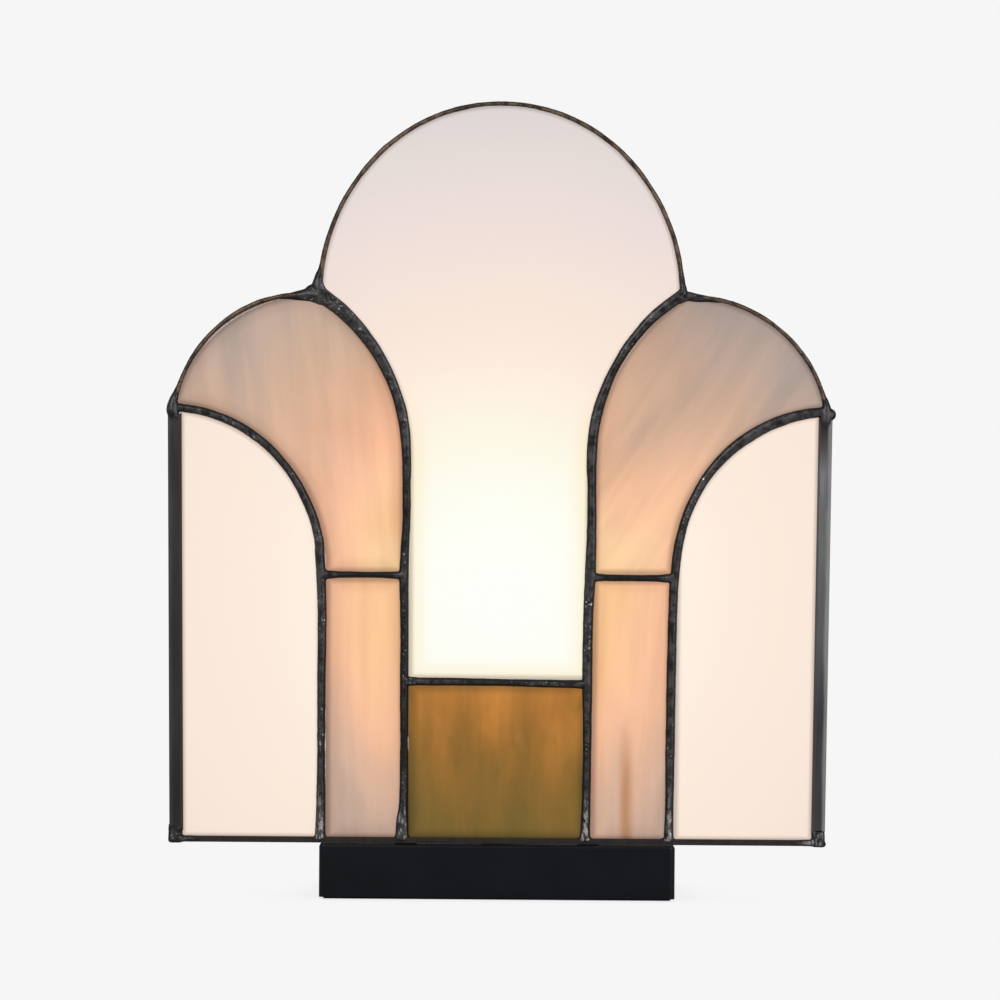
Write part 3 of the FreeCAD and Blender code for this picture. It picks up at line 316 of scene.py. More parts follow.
# Heights in metres: where the grey of an arch starts and is full, and where the stain of a
# column does.  In the amber pane the moss is full at MOSS_FULL and nearly gone at FLAME_FULL,
# where the flames are full
GREY_FROM, GREY_FULL = 0.175, 0.225
STAIN_FROM, STAIN_FULL = 0.092, 0.046
MOSS_FULL, FLAME_FROM, FLAME_FULL = 0.060, 0.052, 0.094
FLAME = srgb(206, 138, 58)
MOSS = srgb(108, 86, 34)


def stops(*pairs):
    """Ramp stops from (millimetres from the bulb, screen colour)."""
    return [(distance * MM / REACH, srgb(*colour)) for distance, colour in pairs]


# Each fade is a glass's own colour with the bulb's glow painted on: brightest near the bulb, darker
# away from it
WING_OPAL = stops(
    (75, (255, 243, 227)), (92, (255, 240, 224)), (106, (254, 237, 222)), (128, (252, 235, 219)),
    (152, (251, 233, 218)), (180, (248, 229, 216)),
)
OPAL = stops(
    (0, (255, 255, 251)), (45, (254, 255, 243)), (75, (253, 249, 231)), (92, (254, 242, 226)),
    (108, (253, 236, 221)), (135, (248, 230, 216)), (162, (242, 225, 216)),
    (190, (234, 220, 217)), (206, (229, 218, 214)), (234, (219, 211, 209)),
)
PEACH = stops(
    (44, (255, 214, 160)), (60, (255, 205, 160)), (78, (254, 197, 159)), (92, (245, 190, 156)),
    (112, (228, 182, 152)), (132, (214, 177, 151)), (152, (204, 174, 153)),
    (168, (194, 169, 154)), (205, (176, 161, 151)),
)
GREY_PEACH = stops(
    (44, (255, 214, 162)), (60, (255, 209, 165)), (78, (253, 200, 160)), (92, (244, 193, 157)),
    (112, (225, 183, 154)), (132, (207, 172, 149)), (152, (194, 167, 150)),
    (168, (180, 161, 150)), (205, (168, 156, 150)),
)
PINK_PEACH = stops(
    (44, (255, 201, 148)), (56, (254, 200, 151)), (66, (253, 198, 155)), (74, (252, 195, 157)),
    (85, (243, 190, 155)), (98, (228, 184, 156)), (113, (219, 181, 157)),
    (124, (206, 173, 153)), (150, (192, 165, 150)),
)
AMBER = stops(
    (36, (200, 134, 58)), (52, (182, 120, 52)), (72, (153, 107, 44)), (92, (133, 100, 41)),
    (112, (120, 96, 42)),
)


def pane_shader(tree, shader, colour, wave):
    """Finishes a pane: its colour is painted on as the bulb's light glowing through it, it reflects
    the room, and its surface is gently rolled.
    """
    surface = tree.group(surface_group, place=tree.here(), scale=wave)
    tree.feed(shader.inputs["Emission Color"], colour)
    shader.inputs["Emission Strength"].default_value = LIT
    tree.feed(shader.inputs["Base Color"], tree.tint(colour, (BODY, BODY, BODY, 1)))
    tree.feed(shader.inputs["Roughness"], surface["Roughness"])
    tree.feed(shader.inputs["Normal"], tree.bump(surface["Height"], 0.25, 0.0006))
    shader.inputs["Specular IOR Level"].default_value = 0.35


def faded(tree, distance, wander, fade):
    """A pane's colour at a distance from the bulb, on a fade that strays by wander."""
    return tree.ramp(tree.over(tree.plus(distance, wander), REACH), fade)


def shade_edges(tree, colour, width, shade, share):
    """Multiplies a pane's colour by a painted shade along its edges, where the metal keeps the
    bulb's light away.
    """
    beside = tree.group(edge_group, width=width)["Shade"]
    return tree.tint(colour, shade, tree.times(beside, share))


def opal_glass(name, fade, warm_edge=False):
    """White opal glass.  fade is its colour with the bulb's painted glow falling off away from it,
    and warm_edge adds a warmer painted shade along the edges near the bulb."""
    made, tree, shader = material(name)
    here = tree.here()
    distance = tree.group(glow_group, place=here)["Distance"]
    streak = tree.group(streak_group, place=here, broad=22.0, fine=60.0)
    colour = faded(tree, distance, tree.wander(streak["Clouds"], 0.018), fade)
    if warm_edge:
        # A warmer painted shade along the edges near the bulb
        near_bulb = tree.between(distance, 0.120, 0.070)
        colour = shade_edges(tree, colour, 0.011, HONEY_EDGE_SHADE, near_bulb)
    # Painted shade beside the metal
    colour = shade_edges(tree, colour, 0.0022, OPAL_EDGE_SHADE, 0.75)
    pane_shader(tree, shader, colour, 45.0)
    return made


def peach_glass(name, fade, turn, seed, grey, deep, rim, slope=None, stain=None):
    """Streaky glass.  fade is its colour with the bulb's painted glow falling off away from it,
    turn tilts the streaks, grey and deep set how strongly they show, and rim sets the soft painted
    shade along the edges.
    slope is (angle, dark end, light end) of a slow change across the streaks in the upper part,
    and stain is (x, half width) of a tea-coloured streak in the lower part."""
    made, tree, shader = material(name)
    here = tree.here()
    x, _, z = tree.axes(here)
    distance = tree.group(glow_group, place=here)["Distance"]
    streak = tree.group(streak_group, place=tree.turned(here, turn), broad=34.0, fine=130.0,
                        seed=seed)
    colour = faded(tree, distance, tree.wander(streak["Wisps"], 0.085), fade)
    wisps = tree.between(streak["Wisps"], 0.50, 0.74)
    colour = tree.tint(colour, BLUE_GREY, tree.times(wisps, grey))
    clouds = tree.between(streak["Clouds"], 0.48, 0.74)
    colour = tree.tint(colour, TAN, tree.times(clouds, deep))
    lines = tree.between(streak["Lines"], 0.34, 0.66, 0.955, 1.035)
    colour = tree.tint(colour, tree.grey(lines))
    if slope:
        angle, dark_end, light_end = slope
        across = tree.minus(tree.times(x, math.sin(math.radians(angle))),
                            tree.times(z, math.cos(math.radians(angle))))
        greyed = tree.times(tree.between(across, light_end, dark_end),
                            tree.between(z, GREY_FROM, GREY_FULL))
        colour = tree.tint(colour, SMOKE, greyed)
    if stain:
        middle, half_width = stain
        off = tree.unsigned(tree.minus(x, middle))
        stained = tree.times(tree.between(off, half_width, 0.0),
                             tree.between(z, STAIN_FROM, STAIN_FULL))
        colour = tree.tint(colour, TEA, stained)
    # Painted shade along the edges: soft and wide, then narrow beside the metal
    colour = shade_edges(tree, colour, 0.0085, PEACH_RIM_SHADE, rim)
    colour = shade_edges(tree, colour, 0.0026, PEACH_EDGE_SHADE, 0.8)
    pane_shader(tree, shader, colour, 60.0)
    return made


def amber_glass():
    """Amber glass, with flames of orange near the bulb and patches of moss green lower down."""
    made, tree, shader = material("amber_glass")
    here = tree.here()
    z = tree.axes(here)[2]
    distance = tree.group(glow_group, place=here)["Distance"]
    streak = tree.group(streak_group, place=here, broad=58.0, fine=190.0, seed=0.34)
    colour = faded(tree, distance, tree.wander(streak["Wisps"], 0.06), AMBER)
    moved = tree.vector("SUBTRACT", here, (0.021, 0, 0))
    blotch = tree.noise(tree.scaled(moved, (1, 1, 0.5)), 52.0)
    upper = tree.between(z, FLAME_FROM, FLAME_FULL, 0.06, 0.72)
    flame = tree.between(blotch, 0.47, 0.68)
    colour = tree.mix(tree.times(flame, upper), colour, FLAME)
    lower = tree.between(z, MOSS_FULL, FLAME_FULL, 0.7, 0.15)
    moss = tree.between(blotch, 0.52, 0.30)
    colour = tree.mix(tree.times(moss, lower), colour, MOSS)
    lines = tree.between(streak["Lines"], 0.35, 0.70, 0.95, 1.05)
    colour = tree.tint(colour, tree.grey(lines))
    # Painted shade beside the metal
    colour = shade_edges(tree, colour, 0.0048, AMBER_EDGE_SHADE, 0.75)
    pane_shader(tree, shader, colour, 60.0)
    return made


def deselect():
    bpy.ops.object.select_all(action="DESELECT")


def only(thing):
    """Selects one object and makes it active."""
    deselect()
    thing.select_set(True)
    bpy.context.view_layer.objects.active = thing


def apply_place():
    """Puts the selected object's place, turn and scale into its mesh."""
    bpy.ops.object.transform_apply(location=True, rotation=True, scale=True)


def apply_modifiers(thing):
    only(thing)
    for modifier in list(thing.modifiers):
        bpy.ops.object.modifier_apply(modifier=modifier.name)


def copy_of(node, name):
    """A copy of a CAD node with its doubles merged."""
    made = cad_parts[node].copy()
    made.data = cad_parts[node].data.copy()
    made.name = made.data.name = name
    for key in [k for k in made.keys() if k.startswith("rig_")]:
        del made[key]
    made.parent = None
    made.matrix_world = Matrix.Identity(4)
    bpy.context.scene.collection.objects.link(made)
    mesh = bmesh.new()
    mesh.from_mesh(made.data)
    bmesh.ops.remove_doubles(mesh, verts=mesh.verts, dist=1e-6)
    mesh.to_mesh(made.data)
    mesh.free()
    return made


# Two vertices this near in depth are on the same face of the glass, in metres, and two faces
# whose normals agree less than this meet at a corner
SAME_FACE = 1e-5
CORNER_BELOW = 0.7


def outline_points(thing, step):
    """Points along the edge of a pane's front face, at most step apart."""
    mesh = bmesh.new()
    mesh.from_mesh(thing.data)
    front = min(v.co.y for v in mesh.verts)
    points = []
    for edge in mesh.edges:
        if any(abs(v.co.y - front) > SAME_FACE for v in edge.verts) or len(edge.link_faces) != 2:
            continue
        if edge.link_faces[0].normal.dot(edge.link_faces[1].normal) > CORNER_BELOW:
            continue
        start, end = (v.co for v in edge.verts)
        count = max(1, int((end - start).length / step))
        points += [start.lerp(end, i / count) for i in range(count + 1)]
    mesh.free()
    return points


# How far the metal reaches over the edge of a pane: in a side channel, in the foot channel and
# under a seam.  A pane is in a side channel past this x and below this top
SIDE_COVER, FOOT_COVER, SEAM_COVER = 4.0 * MM, 0.5 * MM, 1.2 * MM
SIDE_CHANNEL_X, SIDE_CHANNEL_TOP, FOOT_CHANNEL_TOP = 0.1492, 0.224, 0.0285


def covered(point):
    """How far the metal reaches over a pane from a point of the pane's edge."""
    if abs(point.x) > SIDE_CHANNEL_X and point.z < SIDE_CHANNEL_TOP:
        return SIDE_COVER
    return FOOT_COVER if point.z < FOOT_CHANNEL_TOP else SEAM_COVER


def search_tree(points):
    """The points in the plane of the glass, ready to be searched for the nearest."""
    search = kdtree.KDTree(len(points))
    for i, point in enumerate(points):
        search.insert((point.x, 0, point.z), i)
    search.balance()
    return search


def pane(node, finish):
    """A pane with an even mesh that knows how far each point is from the metal round it."""
    made = copy_of(node, f"pane_{node[6:]}")
    points = outline_points(made, 0.5 * MM)
    remesh = made.modifiers.new("even", "REMESH")
    remesh.mode = "VOXEL"
    remesh.voxel_size = 0.9 * MM
    apply_modifiers(made)
    covers = sorted({covered(point) for point in points})
    searches = [(cover, search_tree([p for p in points if covered(p) == cover]))
                for cover in covers]
    edge = made.data.attributes.new("edge", "FLOAT", "POINT")
    for i, vertex in enumerate(made.data.vertices):
        flat = (vertex.co.x, 0, vertex.co.z)
        edge.data[i].value = min(search.find(flat)[2] - cover for cover, search in searches)
    made.data.materials.clear()
    made.data.materials.append(finish)
    only(made)
    bpy.ops.object.shade_smooth_by_angle(angle=math.radians(40))
    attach(made, "lamp")
    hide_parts(node)


pane("glass_centre_dome", opal_glass("opal_glass_dome", OPAL, warm_edge=True))
opal = opal_glass("opal_glass_wings", WING_OPAL)
pane("glass_left_wing", opal)
pane("glass_right_wing", opal)
pane("glass_centre_amber", amber_glass())
pane("glass_left_arch", peach_glass(
    "peach_glass_left_arch", PEACH, turn=6, seed=0.11, grey=0.60, deep=0.35, rim=0.42))
pane("glass_right_arch", peach_glass(
    "peach_glass_right_arch", GREY_PEACH, turn=-34, seed=0.47, grey=0.40, deep=0.12, rim=0.12,
    slope=(57, -0.086, -0.036)))
pane("glass_left_column", peach_glass(
    "peach_glass_left_column", PINK_PEACH, turn=2, seed=0.83, grey=0.35, deep=0.25, rim=0.40))
pane("glass_right_column", peach_glass(
    "peach_glass_right_column", PINK_PEACH, turn=-4, seed=0.62, grey=0.20, deep=0.30, rim=0.30,
    stain=(0.0596, 0.0050)))


# ---------------------------------------------------------------------------------------------
# Metal
# ---------------------------------------------------------------------------------------------
def worn_feet(tree, here):
    """Where the patina is rubbed off the seams: at their feet, and less on the lower right
    corner."""
    x, _, z = tree.axes(here)
    feet = tree.times(tree.between(tree.unsigned(x), 0.100, 0.095),
                      tree.between(z, 0.056, 0.034))
    corner = tree.times(tree.between(x, 0.140, 0.145), tree.between(z, 0.045, 0.040))
    return tree.maths("MAXIMUM", feet, tree.times(corner, 0.7))


def patina_metal(name, dark, light, bright, specks, metallic, bump=0.5, crown=(0.0022, 0.0028),
                 rubbed=False):
    """Solder or zinc with patina.  crown is the depths from the middle of the glass between
    which the dark patina turns to the lighter crown, partly worn and partly a painted sheen,
    and rubbed bares the metal at the feet of the seams."""
    made, tree, shader = material(name)
    here = tree.here()
    patina = tree.group(patina_group, place=here, dark=srgb(*dark), light=srgb(*light),
                        bright=srgb(*bright), specks=specks, low=crown[0], high=crown[1],
                        bare=worn_feet(tree, here) if rubbed else 0.0)
    tree.feed(shader.inputs["Base Color"], patina["Color"])
    tree.feed(shader.inputs["Roughness"], patina["Roughness"])
    shader.inputs["Metallic"].default_value = metallic
    tree.feed(shader.inputs["Normal"], tree.bump(patina["Height"], bump, 0.0003))
    return made


seam_solder = patina_metal("seam_solder", (28, 26, 26), (84, 81, 82), (206, 204, 202),
                           specks=1.0, metallic=0.5, rubbed=True)
rim_solder = patina_metal("rim_solder", (50, 38, 30), (128, 106, 86), (190, 175, 150),
                          specks=0.5, metallic=0.5, crown=(0.0016, 0.0022))
foot_channel = patina_metal("foot_channel", (44, 38, 36), (66, 58, 54), (120, 110, 100),
                            specks=0.2, metallic=0.3, bump=0.2)

# A side channel stands on its foot with its inner edge at this x, and leans outwards by this
# much for each metre of height.  Colours run up it over the tall height, partly as painted
# reflection
CHANNEL_FOOT, CHANNEL_INNER, CHANNEL_WIDTH = 0.027, 0.1456, 0.0064
CHANNEL_LEAN = 0.01097
CHANNEL_TALL = 0.25
CHANNEL_HIGHLIGHT = srgb(190, 186, 182)


def channel_metal(name, rows, edge_light, inner):
    """Zinc channel with patina.  rows are (height in mm, colour) from the foot up, and on the right
    channel they paint the room's reflection on its face; edge_light is how strong a painted
    highlight along the outer edge is, and inner is the colour of the edge beside the glass."""
    made, tree, shader = material(name)
    here = tree.here()
    x, _, height = tree.axes(here)
    inner_edge = tree.plus(tree.times(tree.minus(height, CHANNEL_FOOT), CHANNEL_LEAN),
                           CHANNEL_INNER)
    across = tree.over(tree.minus(tree.unsigned(x), inner_edge), CHANNEL_WIDTH)
    streak = tree.noise(tree.scaled(here, (1, 1, 0.12)), 240.0, 3.0, 0.5)
    drift = tree.wander(streak, 0.3)
    body = tree.ramp(tree.over(tree.plus(height, tree.times(drift, 0.02)), CHANNEL_TALL),
                     [(z * MM / CHANNEL_TALL, srgb(*colour)) for z, colour in rows])
    colour = tree.tint(body, tree.grey(tree.between(streak, 0.3, 0.7, 0.88, 1.14)))
    place = tree.plus(across, drift)
    # A painted highlight along the outer edge
    outer = tree.times(tree.between(place, 0.62, 0.86), edge_light)
    colour = tree.mix(outer, colour, CHANNEL_HIGHLIGHT)
    brown = tree.times(tree.between(place, 0.24, 0.10), 0.8)
    colour = tree.mix(brown, colour, srgb(*inner))
    tree.feed(shader.inputs["Base Color"], colour)
    tree.feed(shader.inputs["Roughness"], tree.between(streak, 0.3, 0.7, 0.36, 0.5))
    shader.inputs["Metallic"].default_value = 0.3
    fine = tree.noise(here, 700.0, 2.0, 0.5)
    tree.feed(shader.inputs["Normal"], tree.bump(fine, 0.2, 0.00008))
    return made


left_channel = channel_metal(
    "left_channel", [(0, (38, 37, 39)), (120, (48, 47, 49)), (250, (60, 57, 57))],
    edge_light=0.05, inner=(78, 56, 44))
# The right channel's colours paint the room's reflection on its face, brightest just below its top
# and dark at the very top, with a strong painted highlight along its outer edge
right_channel_painted_sheen = channel_metal(
    "right_channel_painted_sheen",
    [(27, (70, 69, 73)), (80, (66, 66, 72)), (105, (82, 82, 86)), (140, (106, 105, 106)),
     (175, (114, 115, 114)), (198, (132, 134, 138)), (210, (84, 82, 82)), (219, (46, 43, 46))],
    edge_light=0.5, inner=(84, 74, 70))


def strand(knots, depth=2.85, spare=0.4):
    """A bead of solder through x, z, width knots in millimetres, in the plane of the glass.
    It reaches depth millimetres to the front and to the back.  The melting and settling that
    follow take the spare width away again."""
    usual = sum(width for x, z, width in knots) / len(knots)
    deselect()
    bpy.ops.curve.primitive_bezier_circle_add(radius=0.5 * MM)
    section = bpy.context.object
    section.scale = (1, 2 * depth / usual, 1)
    only(section)
    bpy.ops.object.transform_apply(location=False, rotation=False, scale=True)
    bpy.ops.curve.primitive_bezier_curve_add(location=(0, 0, 0))
    curve = bpy.context.object
    curve.data.dimensions = "2D"
    curve.data.fill_mode = "NONE"
    curve.data.resolution_u = 10
    curve.data.bevel_mode = "OBJECT"
    curve.data.bevel_object = section
    curve.data.use_fill_caps = True
    points = curve.data.splines[0].bezier_points
    points.add(len(knots) - 2)
    for point, (x, z, width) in zip(points, knots):
        point.co = (x * MM, z * MM, 0)
        point.radius = width + spare
        point.handle_left_type = point.handle_right_type = "AUTO"
    curve.rotation_euler = (math.radians(90), 0, 0)
    curve.location = (0, MIDDLE, 0)
    only(curve)
    bpy.ops.object.convert(target="MESH")
    apply_place()
    bpy.data.objects.remove(section)
    return bpy.context.object


def blob(x, z, width, height, depth=3.2, turn=0):
    """A lump of solder, in millimetres, turned by an angle in degrees."""
    deselect()
    bpy.ops.mesh.primitive_uv_sphere_add(
        segments=24, ring_count=14, radius=1, location=(x * MM, MIDDLE, z * MM),
        scale=(width / 2 * MM, depth * MM, height / 2 * MM), rotation=(0, math.radians(turn), 0))
    apply_place()
    return bpy.context.object


def slab(x, z, width, height, depth):
    """A rounded block of solder, in millimetres."""
    deselect()
    bpy.ops.mesh.primitive_cube_add(
        size=1, location=(x * MM, MIDDLE, z * MM), scale=(width * MM, 2 * depth * MM, height * MM))
    apply_place()
    made = bpy.context.object
    round_off = made.modifiers.new("round", "BEVEL")
    round_off.width, round_off.segments = 1.4 * MM, 4
    apply_modifiers(made)
    return made


def clouds(name, scale, depth):
    made = bpy.data.textures.new(name, "CLOUDS")
    made.noise_scale = scale
    made.noise_depth = depth
    return made


LUMPS = clouds("solder_lumps", 9 * MM, 2)
RIPPLES = clouds("solder_ripples", 1.6 * MM, 1)


def solder(name, things, finish, nodes, voxel=0.42, lump=0.35, ripple=0.16):
    """Melts strands, blobs and slabs into one hand-made bead.  voxel is the size of its mesh,
    and lump and ripple are how far its surface rises and falls, in millimetres."""
    deselect()
    for thing in things:
        thing.select_set(True)
    bpy.context.view_layer.objects.active = things[0]
    if len(things) > 1:
        bpy.ops.object.join()
    made = things[0]
    made.name = made.data.name = name
    remesh = made.modifiers.new("melt", "REMESH")
    remesh.mode = "VOXEL"
    remesh.voxel_size = voxel * MM
    settle = made.modifiers.new("settle", "SMOOTH")
    settle.factor, settle.iterations = 0.5, 4
    for label, texture, strength in (("lumps", LUMPS, lump), ("ripples", RIPPLES, ripple)):
        displace = made.modifiers.new(label, "DISPLACE")
        displace.texture = texture
        displace.texture_coords = "LOCAL"
        displace.strength = strength * MM
        displace.mid_level = 0.55
    apply_modifiers(made)
    bpy.ops.object.shade_smooth()
    made.data.materials.clear()
    made.data.materials.append(finish)
    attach(made, "lamp")
    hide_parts(*nodes)


def swing(centre, radius, start, end, widths, moves=None):
    """Knots along an arc from angle start to end in degrees, with a width at each.  moves, if
    given, are added to the radius at each knot, where the hand-cut line leaves the arc."""
    knots = []
    for i, width in enumerate(widths):
        angle = math.radians(start + (end - start) * i / (len(widths) - 1))
        reach = radius + (moves[i] if moves else 0)
        knots.append((centre[0] + reach * math.cos(angle),
                      centre[1] + reach * math.sin(angle), width))
    return knots


def flip(knots):
    """The same knots on the other side of the middle."""
    return [(-x, z, width) for x, z, width in knots]


# Where the inner and the outer seams end at the rim, and the (centre, radius) of each arc on the
# right side, all in millimetres
CROTCH = (85.2, 281.0)
CORNER = (152.7, 227.6)
INNER_ARC = ((134.19, 204.44), 90.90)
OUTER_ARC = ((157.41, 151.63), 76.11)
CROWN = ((0.0, 288.6), 80.4)
FLANK_ARC = ((-9.64, 279.36), 93.75)
SHOULDER_ARC = ((87.9, 215.06), 64.9)


def bearing(centre, place):
    """The angle in degrees from the centre of an arc to a place on it."""
    return math.degrees(math.atan2(place[1] - centre[1], place[0] - centre[0]))


INNER_END = bearing(INNER_ARC[0], CROTCH)
OUTER_END = bearing(OUTER_ARC[0], CORNER)

BAR_DEPTH = 2.5
JOINT = {"depth": 2.85, "spare": 0.1}
CORNER_JOINT = {"depth": 2.8, "spare": 0.1}

left_inner = strand(flip(
    [(44.4, 27, 6.4), (44.2, 36, 5.6), (43.7, 44, 4.4), (43.7, 72, 3.9), (43.8, 98, 4.2),
     (43.9, 130, 4.2), (44.3, 150, 4.6), (43.9, 162, 4.4), (43.1, 176, 4.2), (43.2, 192, 4.2)]
    + swing(*INNER_ARC, 180, INNER_END, (4.8, 5.4, 5.2, 5.4, 6.0, 6.9, 7.4))))
left_outer = strand(flip(
    [(82.4, 27, 5.2), (82.2, 34, 4.6), (82.1, 60, 3.7), (82.2, 100, 3.9), (82.1, 135, 4.4),
     (83.3, 158, 4.5)]
    + swing(*OUTER_ARC, 168, OUTER_END, (4.4, 3.9, 3.8, 4.0, 4.0, 3.8),
            (-1.1, -1.1, -0.5, 0, 0, 0))))
left_bar = strand([(-43.6, 149.6, 4.4), (-50, 149.9, 3.3), (-62, 150.0, 3.0), (-74, 150.0, 3.3),
                   (-81.6, 149.9, 4.6)], BAR_DEPTH)
left_joints = [
    strand(flip([(82.2, 298, 2.4), (83.3, 292, 3.2), (84.6, 287.5, 4.6), (84.8, 283.5, 6.4),
                 (82.3, 278.3, 7.0)]), **JOINT),
    strand(flip([(105, 277.7, 2.4), (99, 278.5, 3.3), (93.5, 279.2, 5.2), (88, 279.6, 6.9),
                 (83, 278.6, 7.8)]), **JOINT),
    strand(flip([(148.2, 239, 2.3), (150.2, 234, 3.2), (151.7, 230, 4.6), (152.2, 226.0, 5.8),
                 (151.3, 222.8, 5.4), (151.0, 219.6, 3.4)]), **CORNER_JOINT),
    blob(-88.3, 282.2, 7.0, 4.6, 2.5, -34),
    slab(-149.2, 29.6, 6.9, 9.4, 2.65),
    strand([(-147, 27, 3.0), (-142, 27, 2.8), (-138, 27, 2.4)], 2.6),
    blob(-44.0, 27.9, 9.4, 2.8, 2.8),
    blob(-82.2, 27.9, 8.4, 2.6, 2.8),
]
solder("solder_left", [left_inner, left_outer, left_bar, *left_joints], seam_solder, (
    "seam_left_inner", "seam_left_outer", "seam_left_crossbar", "solder_crotch_joints",
    "solder_corner_joints", "foil_columns", "foil_wings"))

right_inner = strand(
    [(40.6, 27, 5.4), (40.8, 34, 4.6), (41.1, 48, 4.2), (41.3, 75, 4.2), (41.2, 100, 4.8),
     (41.4, 130, 4.8), (42.4, 152, 5.4), (42.8, 168, 4.8), (42.8, 190, 4.4)]
    + swing(INNER_ARC[0], INNER_ARC[1] + 0.7, 180, INNER_END, (4.9, 5.2, 4.8, 4.2, 4.6, 5.2, 5.6)))
right_outer = strand(
    [(79.5, 27, 4.8), (79.6, 36, 4.4), (79.7, 44, 4.2), (79.9, 70, 4.6), (80.2, 100, 4.6),
     (80.8, 135, 4.5)]
    + swing(*OUTER_ARC, 180, OUTER_END, (4.5, 4.4, 4.2, 4.8, 5.4, 5.3, 4.8),
            (-0.4, -0.9, -0.5, 0, 0, 0, 0)))
right_bar = strand([(41.8, 149.6, 4.6), (50, 149.3, 3.5), (62, 149.1, 3.2), (74, 149.2, 3.5),
                    (81, 149.4, 4.6)], BAR_DEPTH)
right_joints = [
    strand([(82.2, 298, 2.3), (83.5, 291, 2.4), (84.1, 286, 2.9), (84.3, 282.3, 4.3),
            (82.3, 279, 5.3)], **JOINT),
    strand([(104, 277.9, 2.5), (96.5, 278.8, 3.2), (90.5, 279.5, 4.2), (86.0, 280.1, 5.0),
            (82.5, 279.0, 5.4)], **JOINT),
    strand([(147.9, 239.4, 2.3), (149.9, 234, 2.8), (151.1, 230, 4.2), (151.3, 225.5, 6.0),
            (151.0, 222.2, 5.8), (151.0, 219.2, 3.6)], **CORNER_JOINT),
    blob(153.4, 225.8, 5.4, 5.6, 3.2),
    slab(148.9, 28.9, 6.4, 7.8, 2.65),
    blob(150.6, 26.4, 4.4, 3.2, 2.7),
    strand([(147, 27, 3.0), (142, 27, 2.8), (138, 27, 2.4)], 2.6),
    blob(40.8, 27.8, 10.4, 2.6, 2.8),
    blob(79.0, 27.8, 9.4, 2.6, 2.8),
]
solder("solder_right", [right_inner, right_outer, right_bar, *right_joints], seam_solder, (
    "seam_right_inner", "seam_right_outer", "seam_right_crossbar"))
sill = strand([(-43, 100.7, 4.8), (-36, 100.6, 4.0), (-20, 100.6, 3.9), (0, 100.4, 3.6),
               (22, 100.0, 3.9), (36, 99.8, 4.0), (42, 99.7, 4.6)], 2.6)
solder("solder_sill", [sill], seam_solder, ("seam_centre_sill", "foil_centre_amber"))


def rim(name, knots, *nodes):
    """The thin bead of solder on an outer edge of the panel."""
    solder(name, [strand(knots, 2.25, 0.15)], rim_solder, nodes, voxel=0.4, ripple=0.15)


flank = swing(*FLANK_ARC, 1.0, 43.8, (2.4, 2.6, 2.5, 2.4, 2.6))
crown = swing(*CROWN, 50, 130, (2.4, 2.6, 2.4, 2.3, 2.5, 2.4, 2.6))
rim("solder_rim_dome", flank + crown + flip(flank)[::-1], "rim_dome", "foil_centre_dome")
SHOULDER_WIDTHS = (2.6, 2.3, 2.4, 2.2, 2.3, 2.2, 2.4)
rim("solder_rim_right", swing(*SHOULDER_ARC, 88, 12.5, SHOULDER_WIDTHS), "rim_right_shoulder")
left_shoulder = swing(*SHOULDER_ARC, 88, 12.5, SHOULDER_WIDTHS, (0.0, 0.5, 0.9, 0.9, 0.6, 0.3, 0.2))
rim("solder_rim_left", flip(left_shoulder), "rim_left_shoulder", "foil_arches")


# ---------------------------------------------------------------------------------------------
# Finishes of the CAD nodes that are shown as they are
# ---------------------------------------------------------------------------------------------
def finish(made, *names):
    for name in names:
        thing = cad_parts[name]
        thing.data.materials.clear()
        thing.data.materials.append(made)


def simple(name, colour, metallic, low, high, scale, height, specular=0.5):
    """A finish whose tone, roughness and surface vary gently.  low and high are its roughness,
    scale is how fine the changes are, and height is how far the surface rises, in metres."""
    made, tree, shader = material(name)
    here = tree.here()
    cloud = tree.noise(here, scale, 4.0, 0.55)
    fine = tree.noise(here, scale * 8, 3.0, 0.6)
    plain = srgb(*colour)
    lighter = tuple(min(1.0, level * 1.25) for level in plain[:3]) + (1,)
    tree.feed(shader.inputs["Base Color"],
              tree.mix(tree.between(cloud, 0.35, 0.65), plain, lighter))
    tree.feed(shader.inputs["Roughness"], tree.between(cloud, 0.3, 0.7, low, high))
    shader.inputs["Metallic"].default_value = metallic
    shader.inputs["Specular IOR Level"].default_value = specular
    tree.feed(shader.inputs["Normal"], tree.bump(fine, 0.3, height))
    return made


finish(left_channel, "channel_left_side")
finish(right_channel_painted_sheen, "channel_right_side")
finish(foot_channel, "channel_foot")
finish(seam_solder, "panel_brackets")
finish(simple("powder_coat", (9, 12, 19), 0.0, 0.36, 0.46, 60.0, 0.00008, specular=0.22),
       "base_shell")
finish(simple("zinc_plate", (150, 150, 146), 0.9, 0.28, 0.45, 150.0, 0.00005),
       "bracket_screws", "bracket_nuts", "floor_screws", "base_floor", "base_posts", "tube_washer")
finish(simple("mill_steel", (110, 110, 112), 0.9, 0.35, 0.55, 80.0, 0.0001), "base_ballast")
finish(simple("felt", (30, 30, 31), 0.0, 0.9, 1.0, 900.0, 0.0004), "base_felt")
finish(simple("turned_brass", (190, 150, 84), 1.0, 0.22, 0.36, 200.0, 0.00004),
       "threaded_tube", "tube_nut", "holder_collar", "holder_centre_contact",
       "holder_screw_shell", "terminal_screws")
finish(simple("phenolic", (24, 23, 23), 0.0, 0.25, 0.38, 90.0, 0.00004),
       "holder_cup", "holder_barrel", "bulb_insulator")
finish(simple("porcelain", (222, 219, 208), 0.0, 0.15, 0.25, 70.0, 0.00003),
       "holder_contact_block")
finish(simple("nickel", (190, 187, 178), 1.0, 0.18, 0.30, 200.0, 0.00003), "bulb_cap", "bulb_tip")
finish(simple("nylon_white", (218, 218, 210), 0.0, 0.35, 0.5, 120.0, 0.00004), "terminal_block")
finish(simple("nylon_black", (26, 26, 27), 0.0, 0.35, 0.5, 120.0, 0.00004),
       "cord_gland", "gland_nut")
